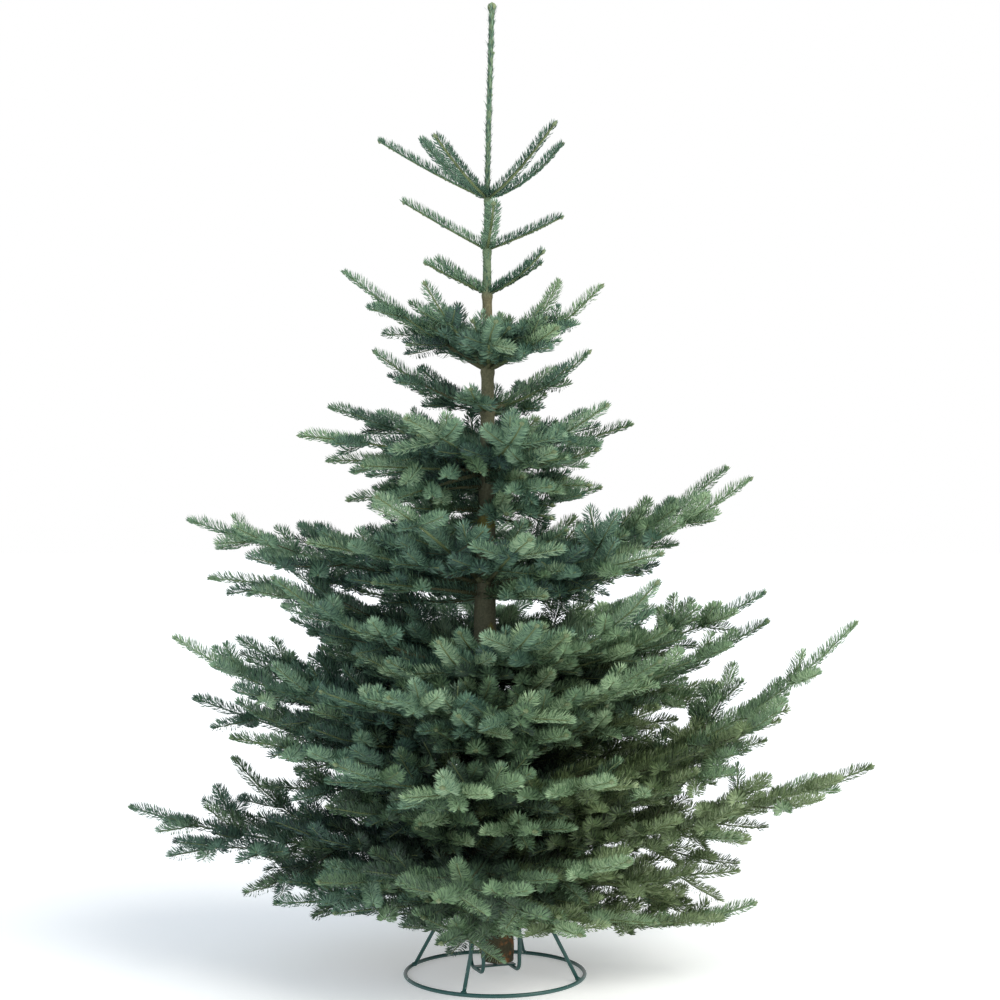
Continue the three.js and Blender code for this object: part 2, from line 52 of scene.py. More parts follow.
# For each mass of the frame: the height of its whorl, and its boughs as (direction in degrees,
# slope of the foot in degrees). How far each bough reaches and rises is measured on the mass.
WHORLS = {
    "01": (0.155, {"left": ((195, 8), (222, 5), (258, -3)),
                   "right": ((-66, -3), (-32, -5), (-5, -16)),
                   "back": ((45, -5), (90, -5), (138, -5))}),
    "02": (0.250, {"left": ((152, -8), (174, 0)),
                   "front": ((228, -5), (262, 0), (306, -2)),
                   "right": ((-5, 9), (30, 3)),
                   "back": ((60, 0), (92, 0), (125, 0))}),
    "03": (0.385, {"left": ((166, 13), (205, 14)),
                   "front": ((235, 5), (262, 5), (300, 5)),
                   "right": ((-5, 5), (20, 5), (42, 5)),
                   "back": ((68, 5), (95, 10), (135, 5))}),
    "04": (0.500, {"left": ((155, 10), (187, 5)),
                   "front": ((246, 15), (280, 12)),
                   "right": ((-45, 15), (-10, 15), (25, 10)),
                   "back": ((85, 15), (122, 15))}),
    "05": (0.620, {"left": ((135, 15), (168, 27), (205, 12)),
                   "right": ((-75, 12), (-40, 6), (5, 3)),
                   "back": ((50, 15), (95, 15))}),
    "06": (0.800, {"left": ((148, 10), (176, 5)),
                   "front": ((238, 30), (285, 20)),
                   "right": ((-32, 6), (-6, 3), (10, 6)),
                   "back": ((45, 12), (92, 15), (122, 15))}),
    "07": (0.955, {"left": ((178, 10), (210, 0)),
                   "right": ((-25, 5), (5, 5))}),
    "08": (1.040, {"left": ((162, 25), (192, 15), (240, 20)),
                   "right": ((-77, 12), (-35, 15), (2, 15)),
                   "back": ((45, 20), (90, 20), (130, 20))}),
    "09": (1.163, {"left": ((135, 15), (186, 12)),
                   "right": ((-3, 8), (45, 15))}),
    "10": (1.243, {"left": ((115, 25), (150, 25), (178, 30), (228, 35)),
                   "right": ((-85, 20), (-48, 15), (-8, 22), (48, 25))}),
    "11": (1.400, {"left": ((160, 25), (192, 22)),
                   "right": ((-10, 15), (12, 20))}),
    "12": (1.490, {"left": ((180, 28),), "right": ((0, 20),), "front": ((277, 30),)}),
    "13": (1.595, {"left": ((175, 24),), "back_left": ((130, 25),), "front_left": ((232, 25),),
                   "front_right": ((-35, 25),), "back_right": ((25, 14),)}),
}
FIRST_BARE_WHORL = 11  # from here up a bough is one needled shoot, with no side branches

END_SHOOT = 0.13  # the last year's growth of a long bough
YEAR_STEP = 0.105  # and of the years before
SIDE_STEP = (YEAR_STEP, 0.092, 0.082, 0.075)  # a year's growth by order of branching
SIDE_SHARE = (0.66, 0.62, 0.6)  # a side branch's length, as a share of what its parent still grows
SIDE_ANGLE = (54, 50, 46)  # degrees between a side branch and its parent, by order of branching
UPTURN = (2, 2.3, 2.9, 2.7, 2.6, 2.4, 2.0)  # by whorl: how late a bough turns up, as a power
SWAY = 0.012  # how far a bough sways to one side, as a share of its reach
LONGEST_SIDE = 0.30
SHORTEST_SIDE = 0.048
UPRIGHT_CHANCE = (0.3, 0.2, 0.08)  # of a short upright shoot at a node, by order of branching
TWIG_RADIUS = 0.0010
SHOOT_RADIUS = 0.0013
# Boughs between the main ones: degrees of tilt, least and most share of reach, lift of the foot.
USUAL_INFILL = ((14, 0.40, 0.56, 0.035), (-13, 0.58, 0.78, -0.012))
INFILL = {
    1: ((5, 0.50, 0.70, 0.018),),
    4: ((14, 0.40, 0.56, 0.035), (-2, 0.68, 0.84, 0.0), (-13, 0.58, 0.78, -0.012)),
    5: ((4, 0.40, 0.56, 0.014), (-6, 0.68, 0.84, -0.005), (-13, 0.58, 0.78, -0.012)),
    6: ((8, 0.36, 0.50, 0.030), (-5, 0.58, 0.78, 0.0), (-14, 0.46, 0.62, -0.020)),
    7: ((8, 0.40, 0.55, 0.010), (-8, 0.50, 0.75, 0.010), (-22, 0.42, 0.58, -0.015)),
    8: ((14, 0.30, 0.42, 0.024), (6, 0.42, 0.56, 0.024), (-14, 0.74, 0.92, -0.004),
        (-30, 0.66, 0.90, -0.010), (-22, 0.45, 0.60, -0.030)),
    9: ((-14, 0.50, 0.72, -0.006),),
    10: ((4, 0.50, 0.66, 0.022), (-4, 0.50, 0.66, 0.012)),
}
SIDE_DIP = {1: -0.02, 8: 0.24, 9: 0.34, 10: 0.32}  # how far side branches hang, as a slope, by whorl
USUAL_DIP = 0.07
TRUNK_WINDOW = 13  # degrees either side of the front, kept open from this height up
WINDOW_START = 0.5
TIP_SECTOR = 6  # degrees either side of a bough's direction, where its mass's tip is looked for
INFILL_GAP = 20  # degrees between two main boughs, past which a shorter one grows between them
INFILL_PLACE = (0.35, 0.65)  # where in the gap
LOWEST_TIP = 0.06  # a shorter bough's tip stays at least this far above the floor
BARE_FOOT = 0.035  # the foot of a main bough, with no needles
SHORT_BARE_FOOT = 0.012  # and of a shorter one between, or of one in the crown's densest whorls
DENSE_WHORLS = (7, 8)
YOUNG_LIMB = 0.0045  # the radius under which a limb still has its green bark

# How growth varies, where a pair is a least and a most value.
YEAR_TREND = (0.92, 1.12)  # a branch's growth, from its first year to its last
YEAR_CHANCE = (0.88, 1.12)
SIDE_CHANCE = (0.8, 1.2)
BEND_UP = (0.02, 0.22)  # how far a year bends up, and towards the way its parent grows
BEND_ON = (0.05, 0.28)
WANDER = 0.035
BRANCH_TAPER = 1.5  # as a power of the share of length still to come
LIMB_TAPER = 2.1
LIMB_FOOT = 0.0026  # a limb's radius at the trunk, and what each metre of reach adds to it
LIMB_THICKENING = 0.0090
FINEST_ORDER = 3  # shoots of this order don't branch
END_OF_BRANCH = 0.06  # nearer the tip than this, side shoots that would be too short are left out
UPRIGHT_LENGTH = (0.05, 0.085)
LIFTED_CHANCE = 0.45  # of a lifted side branch at a node of a limb
LIFTED_LENGTH = (0.06, 0.15)
HANGING_CHANCE = 0.6  # of a hanging one, and of one in the two lowest whorls
LOW_HANGING_CHANCE = 0.3
HANGING_LENGTH = (0.06, 0.16)

# Density of needles on a shoot: in full light, what full shade takes off, and the least.
SIDE_DRESS = (1.12, 0.62, 0.45)
LIMB_DRESS = (1.1, 0.5, 0.55)

# A spray's depth of tint and its warmth, as sums of what its age, place, shade and chance add. What
# shade and place add to the depth is mostly painted shade and painted light.
LOW_CROWN = 0.85  # the height under which the crown counts as low, and how far below it wholly so
LOW_SPAN = 0.5
CROWN_SPAN = 0.6  # the width over which the crown turns from left to right
UPPER_CROWN = (1.05, 1.35)
# Depth: shade and low add painted shade; right and low right take depth off as painted light on the lit right
# side; new and old are the needles' own colour by age, chance is random, and upper adds a little depth in a
# band of the upper crown.
DEPTH = {"shade": 0.75, "chance": 0.16, "new": 0.04, "old": 0.16, "low": 0.32, "low right": -0.38,
         "upper": 0.07, "right": -0.12}
WARMTH = {"least": 0.05, "right": 0.45, "low": 0.33, "low right": 0.28, "low shade": 0.15, "chance": 0.14}
DEPTH_LIMITS = (0.02, 0.26, 0.54, 0.88)
KIND_LIMITS = (0.44, 0.95)

NEEDLE_RANKS = (-108, -80, -50, -16, 16, 50, 80, 108)  # degrees round the shoot from its upper side
NEEDLE_LENGTH = np.interp(range(14), (0, 5, 9, 11, 13), (0.0245, 0.0245, 0.0235, 0.0225, 0.0195))
NEEDLE_WIDTH = 0.0027
NEEDLE_BEND = 0.64  # the share of a needle's length at which it bends and is widest
NEEDLES_PER_METRE = 1560
NEEDLE_LEAN = 61  # degrees from the shoot, and how many fewer at its very tip
TIP_LEAN = 28
TIP_START = 0.80  # the share of a last shoot past which its needles close in over the tip
TIP_CLOSING = 0.36  # how much shorter they are there, and on the thin top's shoots
TOP_CLOSING = 0.2
TOP_RANKS = 0.82  # how far the ranks spread on the thin top's shoots
PAINTED_SHADE_TEETH = 0.42  # the share of teeth painted one tint deeper, as painted shade between the needles, and two
DEEPEST_PAINTED_SHADE_TEETH = 0.20
LAST_DRESS = 1.15  # how much more densely the year's own shoots are needled
TOP_DRESS = 1.25  # how densely the single shoots of the thin top are needled
PIECE_LIMIT = 190_000  # triangles in one joined piece

WIRE = 0.008
CAGE_RADIUS = 0.078 / math.sqrt(2)  # the cage is square, and this far from middle to corner
STAND_TURN = 65  # degrees to the first corner of the cage
CAGE_CORNERS = np.radians(STAND_TURN + 90 * np.arange(4))
STRUT_FOOT = 0.175  # how far out a strut's foot stands, and its bend
STRUT_BEND = 0.115
STRUT_BEND_HEIGHT = 0.118
STRUT_JOIN = (0.140, 0.158)  # the heights between which a strut runs up its bar of the cage
STRUT_FOOT_TURN = 5  # degrees that its foot is turned on from its corner of the cage
STRIP_TURN = 20
STRIP_SIZE = (0.0855, 0.018, 0.003)  # its length, width and thickness

EYE = (0.0103, -3.884, 0.976)  # the camera's place
LENS = 68  # mm, as is the width of its film
SENSOR = 36

UP = np.array([0.0, 0.0, 1.0])


# ---- meshes ----

def unit(vectors):
    """Each vector divided by its own length."""
    return vectors / np.maximum(np.linalg.norm(vectors, axis=-1, keepdims=True), 1e-12)


def square_to(axis, vectors):
    """Each vector made square to an axis: its part along the axis is taken off."""
    return unit(vectors - axis * np.sum(vectors * axis, axis=-1, keepdims=True))


def new_piece(name, points, faces, materials, face_material=None, smooth=True):
    """One mesh object from arrays: points (n, 3) and faces (m, 3) or (m, 4)."""
    points = np.asarray(points, dtype=np.float32)
    faces = np.asarray(faces, dtype=np.int32)
    mesh = bpy.data.meshes.new(name)
    mesh.vertices.add(len(points))
    mesh.vertices.foreach_set("co", points.ravel())
    mesh.loops.add(faces.size)
    mesh.loops.foreach_set("vertex_index", faces.ravel())
    mesh.polygons.add(len(faces))
    mesh.polygons.foreach_set("loop_start", np.arange(0, faces.size, faces.shape[1], dtype=np.int32))
    if face_material is not None:
        mesh.polygons.foreach_set("material_index", np.asarray(face_material, dtype=np.int32))
    mesh.polygons.foreach_set("use_smooth", np.full(len(faces), smooth))
    mesh.update(calc_edges=True)
    for material in materials:
        mesh.materials.append(material)
    piece = bpy.data.objects.new(name, mesh)
    bpy.context.scene.collection.objects.link(piece)
    return piece


def join_arrays(parts):
    """Several (points, faces) of one kind as one, the faces renumbered."""
    points = []
    faces = []
    start = 0
    for part_points, part_faces in parts:
        points.append(part_points)
        faces.append(part_faces + start)
        start += len(part_points)
    return np.concatenate(points), np.concatenate(faces)


def ring_faces(rings, sides, closed=False):
    """Two triangles for each quad between neighbouring rings of points. In a closed row the last
    ring joins the first."""
    rows = rings if closed else rings - 1
    i, j = np.meshgrid(np.arange(rows), np.arange(sides), indexing="ij")
    above = (i + 1) % rings
    on = (j + 1) % sides
    a, b, c, d = i * sides + j, i * sides + on, above * sides + on, above * sides + j
    return np.stack([a, b, c, a, c, d], axis=-1).reshape(-1, 3)


def fan(middle, first, sides):
    """Triangles from one middle point to a ring that starts at the point numbered first."""
    k = np.arange(sides)
    return np.stack([np.full(sides, middle), first + k, first + (k + 1) % sides], axis=-1)


def shell_faces(rings, sides):
    """A closed shell over stacked rings, followed by a middle point for the first and the last."""
    count = rings * sides
    return np.concatenate([ring_faces(rings, sides), fan(count, 0, sides)[:, ::-1],
                           fan(count + 1, count - sides, sides)])


def blade_faces(count):
    """Two triangles for each blade, over its foot, the two ends of its widest place, and its tip."""
    first = np.arange(count)[:, None] * 4
    return np.concatenate([first + np.array([0, 1, 2]), first + np.array([2, 1, 3])], axis=1).reshape(-1, 3)


def tube(path, radius, sides, closed=False):
    """A round profile carried along a path of points: each ring stands square to the path, in a
    frame that is carried on from ring to ring without twisting. Ends are closed by flat caps."""
    path = np.asarray(path, dtype=float)
    radius = np.broadcast_to(np.asarray(radius, dtype=float), (len(path),))
    ahead = np.roll(path, -1, axis=0) - path
    behind = path - np.roll(path, 1, axis=0)
    if not closed:
        ahead[-1] = behind[-1]
        behind[0] = ahead[0]
    tangent = unit(ahead + behind)
    side = np.zeros_like(path)
    first = np.cross(tangent[0], (0.0, 0.0, 1.0))
    if np.linalg.norm(first) < 0.1:
        first = np.cross(tangent[0], (0.0, 1.0, 0.0))
    side[0] = unit(first)
    for i in range(1, len(path)):
        side[i] = square_to(tangent[i], side[i - 1])
    up = np.cross(side, tangent)
    turn = np.linspace(0, 2 * np.pi, sides, endpoint=False)
    ring = (side[:, None] * np.cos(turn)[None, :, None] + up[:, None] * np.sin(turn)[None, :, None])
    points = (path[:, None] + ring * radius[:, None, None]).reshape(-1, 3)
    if closed:
        return points, ring_faces(len(path), sides, closed=True)
    return np.concatenate([points, path[:1], path[-1:]]), shell_faces(len(path), sides)


def rounded_path(corners, bend, steps=8):
    """Straight legs through the corners, each corner replaced by a curve that starts and ends a
    bend's length away from it."""
    corners = np.asarray(corners, dtype=float)
    path = [corners[:1]]
    share = np.linspace(0, 1, steps)[:, None]
    for before, corner, after in zip(corners[:-2], corners[1:-1], corners[2:]):
        start = corner + unit(before - corner) * bend
        end = corner + unit(after - corner) * bend
        path.append((1 - share) ** 2 * start + 2 * share * (1 - share) * corner + share ** 2 * end)
    path.append(corners[-1:])
    return np.concatenate(path)


# ---- materials ----

def colour(text):
    """An sRGB hex value as linear red, green, blue and alpha."""
    parts = [int(text[i:i + 2], 16) / 255 for i in (1, 3, 5)]
    return [p / 12.92 if p <= 0.04045 else ((p + 0.055) / 1.055) ** 2.4 for p in parts] + [1.0]


def add_node(owner, kind, settings=None, links=None):
    """One node. Settings are its attributes by name, and its socket values by socket name or
    number. Links are the sockets that feed it, keyed the same way."""
    node = owner.node_tree.nodes.new(kind)
    for key, value in (settings or {}).items():
        if isinstance(key, str) and key in node.bl_rna.properties:
            setattr(node, key, value)
        else:
            node.inputs[key].default_value = value
    for key, source in (links or {}).items():
        owner.node_tree.links.new(source, node.inputs[key])
    return node


def new_material(name, roughness, specular=0.5):
    """A material and its shader."""
    material = bpy.data.materials.new(name)
    material.use_nodes = True
    shader = material.node_tree.nodes["Principled BSDF"]
    shader.inputs["Roughness"].default_value = roughness
    shader.inputs["Specular IOR Level"].default_value = specular
    return material, shader


def plain_material(name, base, roughness, specular=0.5):
    material, shader = new_material(name, roughness, specular)
    shader.inputs["Base Color"].default_value = colour(base)
    material.diffuse_color = colour(base)
    return material


# Fir needles: a waxy blade, satin on top. Blades are bluish high up and on the left, fresh green on
# the right and mossy low down there. In each of these kinds the first tint is the year's own
# growth, and each following one is deeper and a little bluer: partly the older needles' own darker
# green, and partly painted shade, down to the deepest tints, which are painted shade on the needles
# in the shade at the foot of a bough.
NEEDLE_KINDS = (
    ("blue_green", ("#97B18E", "#7C9B7C", "#62836B", "#4B6B59", "#375549", "#273D3A")),
    ("fresh_green", ("#97B189", "#7D9A74", "#668360", "#506A4F", "#3C5440", "#2A3D32")),
    ("moss_green", ("#92A47A", "#798D62", "#63774D", "#4F623D", "#3C4D31", "#2A3624")),
)
NEEDLE_TINTS = [plain_material(f"fir_needle_{kind}_{depth}", tint, 0.46 + 0.025 * depth)
                for kind, tints in NEEDLE_KINDS for depth, tint in enumerate(tints)]
DEPTHS = len(NEEDLE_KINDS[0][1])

# Young fir bark: thin, matt and olive, greener on the year's own shoots.
TWIG_BARK = plain_material("fir_twig_bark", "#54573D", 0.75, 0.3)
SHOOT_BARK = plain_material("fir_shoot_bark", "#6A774F", 0.7, 0.3)
# Winter buds: grey-green scales under a coat of resin, which gives them a soft gloss.
BUD_SCALE = plain_material("fir_bud_scale", "#75835E", 0.45)

# The trunk's colours by height, as shares of a height a little above the foot of the leader.
BARK_TOP = 1.65
BARK_STOPS = ((0.0, "#3E3A2A"), (0.05, "#4B4733"), (0.35, "#585745"), (0.62, "#646650"),
              (0.80, "#716E54"), (0.842, "#7C765A"), (0.858, "#6E8062"), (1.0, "#728768"))
# Cells of pattern in a metre.
BLISTERS = 260.0  # 4 mm
LICHEN = 17.0  # 60 mm
SCRAPES = 60.0  # 17 mm
ORANGE_PEEL = 700.0  # 1.4 mm
CHIPS = 95.0  # 11 mm
# Sockets of a node that mixes colours.
SHARE, FIRST, SECOND, MIXED = 0, 6, 7, 2


def trunk_material():
    """Fir bark: grey-green and smooth with resin blisters; green on the young stem, ochre lichen
    in patches, dark at the butt and scraped brown on one side of it."""
    material, shader = new_material("fir_trunk_bark", 0.85, 0.3)
    place = add_node(material, "ShaderNodeTexCoord").outputs["Object"]
    split = add_node(material, "ShaderNodeSeparateXYZ", links={"Vector": place})
    blister = add_node(material, "ShaderNodeTexNoise", {"Scale": BLISTERS, "Detail": 4.0}, {"Vector": place})
    patch = add_node(material, "ShaderNodeTexNoise", {"Scale": LICHEN, "Detail": 5.0, "Roughness": 0.6},
                     {"Vector": place})
    torn = add_node(material, "ShaderNodeTexNoise", {"Scale": SCRAPES, "Detail": 4.0}, {"Vector": place})
    height = add_node(material, "ShaderNodeMapRange", {"From Min": 0.0, "From Max": BARK_TOP},
                      {"Value": split.outputs["Z"]})
    ramp = add_node(material, "ShaderNodeValToRGB", links={"Fac": height.outputs["Result"]})
    for _ in BARK_STOPS[2:]:
        ramp.color_ramp.elements.new(0.5)
    for element, (position, base) in zip(ramp.color_ramp.elements, BARK_STOPS):
        element.position = position
        element.color = colour(base)
    in_patch = add_node(material, "ShaderNodeMapRange", {"From Min": 0.54, "From Max": 0.62},
                        {"Value": patch.outputs["Fac"]})
    low = add_node(material, "ShaderNodeMapRange", {"From Min": 1.1, "From Max": 0.95, "To Max": 0.85},
                   {"Value": split.outputs["Z"]})
    lichen = add_node(material, "ShaderNodeMath", {"operation": "MULTIPLY"},
                      {0: in_patch.outputs["Result"], 1: low.outputs["Result"]})
    with_lichen = add_node(material, "ShaderNodeMix", {"data_type": "RGBA", SECOND: colour("#7D783C")},
                           {SHARE: lichen.outputs[0], FIRST: ramp.outputs["Color"]})
    at_butt = add_node(material, "ShaderNodeMapRange", {"From Min": 0.125, "From Max": 0.105},
                       {"Value": split.outputs["Z"]})
    to_right = add_node(material, "ShaderNodeMapRange", {"From Min": 0.004, "From Max": 0.018},
                        {"Value": split.outputs["X"]})
    in_scrape = add_node(material, "ShaderNodeMapRange", {"From Min": 0.50, "From Max": 0.62, "To Max": 0.8},
                         {"Value": torn.outputs["Fac"]})
    side = add_node(material, "ShaderNodeMath", {"operation": "MULTIPLY"},
                    {0: at_butt.outputs["Result"], 1: to_right.outputs["Result"]})
    scrape = add_node(material, "ShaderNodeMath", {"operation": "MULTIPLY"},
                      {0: side.outputs[0], 1: in_scrape.outputs["Result"]})
    with_scrape = add_node(material, "ShaderNodeMix", {"data_type": "RGBA", SECOND: colour("#8E5A33")},
                           {SHARE: scrape.outputs[0], FIRST: with_lichen.outputs[MIXED]})
    grain = add_node(material, "ShaderNodeMapRange",
                     {"From Min": 0.3, "From Max": 0.7, "To Min": 0.55, "To Max": 1.15},
                     {"Value": blister.outputs["Fac"]})
    mottled = add_node(material, "ShaderNodeMix",
                       {"data_type": "RGBA", "blend_type": "MULTIPLY", SHARE: 0.75},
                       {FIRST: with_scrape.outputs[MIXED], SECOND: grain.outputs["Result"]})
    material.node_tree.links.new(mottled.outputs[MIXED], shader.inputs["Base Color"])
    bump = add_node(material, "ShaderNodeBump", {"Strength": 0.5, "Distance": 0.0015},
                    {"Height": blister.outputs["Fac"]})
    material.node_tree.links.new(bump.outputs["Normal"], shader.inputs["Normal"])
    return material


def wire_material():
    """Powder-coated steel wire: a satin teal skin with the fine orange peel of the baked powder,
    chipped here and there to the bare grey metal."""
    material, shader = new_material("powder_coated_wire", 0.38)
    place = add_node(material, "ShaderNodeTexCoord").outputs["Object"]
    peel = add_node(material, "ShaderNodeTexNoise", {"Scale": ORANGE_PEEL, "Detail": 2.0}, {"Vector": place})
    chips = add_node(material, "ShaderNodeTexNoise", {"Scale": CHIPS, "Detail": 3.0}, {"Vector": place})
    worn = add_node(material, "ShaderNodeMapRange", {"From Min": 0.70, "From Max": 0.73},
                    {"Value": chips.outputs["Fac"]})
    skin = add_node(material, "ShaderNodeMix",
                    {"data_type": "RGBA", FIRST: colour("#2A5551"), SECOND: colour("#A9B5AE")},
                    {SHARE: worn.outputs["Result"]})
    material.node_tree.links.new(skin.outputs[MIXED], shader.inputs["Base Color"])
    bump = add_node(material, "ShaderNodeBump", {"Strength": 0.15, "Distance": 0.0004},
                    {"Height": peel.outputs["Fac"]})
    material.node_tree.links.new(bump.outputs["Normal"], shader.inputs["Normal"])
    return material


# ---- the frame's own shapes ----

def node_points(name):
    """A node's vertices, as an array."""
    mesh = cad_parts[name].data
    points = np.empty(len(mesh.vertices) * 3, dtype=np.float32)
    mesh.vertices.foreach_get("co", points)
    return points.reshape(-1, 3).astype(float)


def trunk_profile():
    """The trunk's middle and radius by height: the middle of each ring of its vertices, and how
    far the ring reaches from it. A cap's middle point is left out."""
    points = node_points("trunk")
    heights = np.round(points[:, 2], 4)
    rings = []
    for height in np.unique(heights):
        ring = np.unique(np.round(points[heights == height], 5), axis=0)
        if len(ring) < 6:
            continue
        off_axis = ring[np.hypot(ring[:, 0] - ring[:, 0].mean(), ring[:, 1]) > 0.001]
        middle = (off_axis.max(axis=0) + off_axis.min(axis=0)) / 2
        radius = np.hypot(off_axis[:, 0] - middle[0], off_axis[:, 1] - middle[1]).max()
        rings.append((height, middle[0], middle[1], radius))
    return np.array(rings)


TRUNK = trunk_profile()
TREE_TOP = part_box("trunk")[1][2]
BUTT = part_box("trunk")[0][2]


def trunk_at(height):
    """The trunk's middle at a height."""
    x = np.interp(height, TRUNK[:, 0], TRUNK[:, 1])
    y = np.interp(height, TRUNK[:, 0], TRUNK[:, 2])
    return np.stack([x, y, np.broadcast_to(height, np.shape(x))], axis=-1)


def trunk_radius(height):
    return np.interp(height, TRUNK[:, 0], TRUNK[:, 3])


class Bough:
    """A bough's path: straight out from the trunk in one direction, its height bending from the
    slope of its foot to the tip that its mass reaches, with a slight sideways sway."""

    def __init__(self, node, whorl, direction, foot_height, slope, reach, rise, rng):
        self.node = node
        self.whorl = whorl
        self.direction = direction
        self.foot = trunk_at(foot_height)
        along = math.radians(direction)
        self.out = np.array([math.cos(along), math.sin(along), 0.0])
        self.side = np.array([-math.sin(along), math.cos(along), 0.0])
        self.reach = reach
        self.rise = rise
        self.degrees = slope
        self.slope = math.tan(math.radians(slope))
        self.upturn = UPTURN[min(whorl, len(UPTURN) - 1)]
        self.sway = rng.normal(0, SWAY) * reach
        self.bare_foot = SHORT_BARE_FOOT if whorl in DENSE_WHORLS else BARE_FOOT

    def point(self, share):
        """The place at a share of the reach, or at each of several."""
        share = np.asarray(share, dtype=float)
        turned_up = (self.rise / self.reach - self.slope) * share ** self.upturn
        height = self.reach * (self.slope * share + turned_up)
        sway = self.sway * np.sin(np.pi * share) * 2 * share
        return (self.foot + self.reach * share[..., None] * self.out + sway[..., None] * self.side
                + height[..., None] * UP)


def reach_and_rise(node, foot, direction):
    """How far a mass reaches from the trunk in one direction, and how high its tip is there."""
    along = math.radians(direction)
    away = node_points(node) - foot
    turned_by = np.degrees(np.arctan2(away @ (-math.sin(along), math.cos(along), 0),
                                      away @ (math.cos(along), math.sin(along), 0)))
    radius = np.hypot(away[:, 0], away[:, 1])
    tip = np.argmax(np.where(np.abs(turned_by) < TIP_SECTOR, radius, 0))
    return radius[tip], away[tip, 2]


def whorl_boughs(whorl, foot_height, masses, rng):
    """The main boughs of one whorl, each on its own mass."""
    boughs = []
    for place, directions in masses.items():
        node = f"foliage_{whorl}_{place}"
        for direction, slope in directions:
            reach, rise = reach_and_rise(node, trunk_at(foot_height), direction)
            boughs.append(Bough(node, int(whorl), direction, foot_height, slope, reach, rise, rng))
    return boughs


def boughs_between(boughs, foot_height, rng):
    """The shorter boughs that grow between the main ones, as their whorl's list says: each is
    tilted up or down from them, has a share of their reach, and starts above or below them."""
    around = sorted(boughs, key=lambda bough: bough.direction % 360)
    between = []
    for one, other in zip(around, around[1:] + around[:1]):
        gap = (other.direction - one.direction) % 360
        if gap < INFILL_GAP:
            continue
        for tilt, low, high, lift in INFILL.get(one.whorl, USUAL_INFILL):
            direction = one.direction + gap * rng.uniform(*INFILL_PLACE)
            if foot_height > WINDOW_START and abs(direction % 360 - 270) < TRUNK_WINDOW:
                continue
            share = rng.uniform(low, high)
            reach = share * (one.reach + other.reach) / 2
            mean_rise = (one.rise + other.rise) / 2
            rise = share * mean_rise + reach * math.tan(math.radians(tilt)) * 0.8
            slope = (one.degrees + other.degrees) / 2 + tilt + rng.uniform(-5, 5)
            height = foot_height + lift * rng.uniform(0.5, 1.5)
            rise = max(rise, LOWEST_TIP - height + 0.12 * reach)
            bough = Bough(one.node, one.whorl, direction, height, slope, reach, rise, rng)
            bough.bare_foot = SHORT_BARE_FOOT
            between.append(bough)
    return between


# ---- the branching rule ----

def turned(vector, axis, angle):
    """A vector turned about a unit axis by an angle in radians."""
    return (vector * math.cos(angle) + np.cross(axis, vector) * math.sin(angle)
            + axis * np.dot(axis, vector) * (1 - math.cos(angle)))


def shoot_tint(rng, shade, last, place):
    """The tint of a spray: deeper on older wood, deeper as painted shade in the shade and low in the
    crown, and lighter as painted light on the lit right side; and of a kind that turns from blue
    green to moss green the lower it is in the crown and the further to its right."""
    low = np.clip((LOW_CROWN - place[2]) / LOW_SPAN, 0, 1)
    right = np.clip(0.5 + place[0] / CROWN_SPAN, 0, 1)
    # Painted shade: shade and the low crown deepen the tint. Painted light: the low right and the right side
    # lighten it.
    depth = (DEPTH["shade"] * shade + DEPTH["chance"] * rng.normal() + DEPTH["new" if last else "old"]
             + DEPTH["low"] * low + DEPTH["low right"] * right * low)
    if UPPER_CROWN[0] < place[2] < UPPER_CROWN[1]:
        depth += DEPTH["upper"]
    depth += DEPTH["right"] * np.clip(place[0] / CROWN_SPAN, 0, 1)
    warmth = (WARMTH["least"] + WARMTH["right"] * right
              + (WARMTH["low"] + WARMTH["low right"] * right + WARMTH["low shade"] * shade) * low
              + WARMTH["chance"] * rng.normal())
    return int(np.searchsorted(KIND_LIMITS, warmth)) * DEPTHS + int(np.searchsorted(DEPTH_LIMITS, depth))


def dressed(shade, last, rule):
    """How densely a shoot is needled, by its rule: thinner in the shade, denser in its last year."""
    full, loss, least = rule
    return np.clip(full - loss * shade, least, 1.0) * (LAST_DRESS if last else 1.0)


class Growth:
    """What a bough's side branches share: the rows of shoots they are added to, the bough, the
    number of its mass, and its own stream of chance."""

    def __init__(self, rows, bough, node_number, rng):
        self.rows = rows
        self.bough = bough
        self.node = node_number
        self.rng = rng

    def shoot(self, path, normal, radii, order, dress, tint, last):
        """One year's growth, as a row of the table of shoots."""
        start, middle, end = path
        self.rows.append((*start, *middle, *end, *normal, *radii, order, dress, tint,
                          self.bough.whorl, self.node, last))


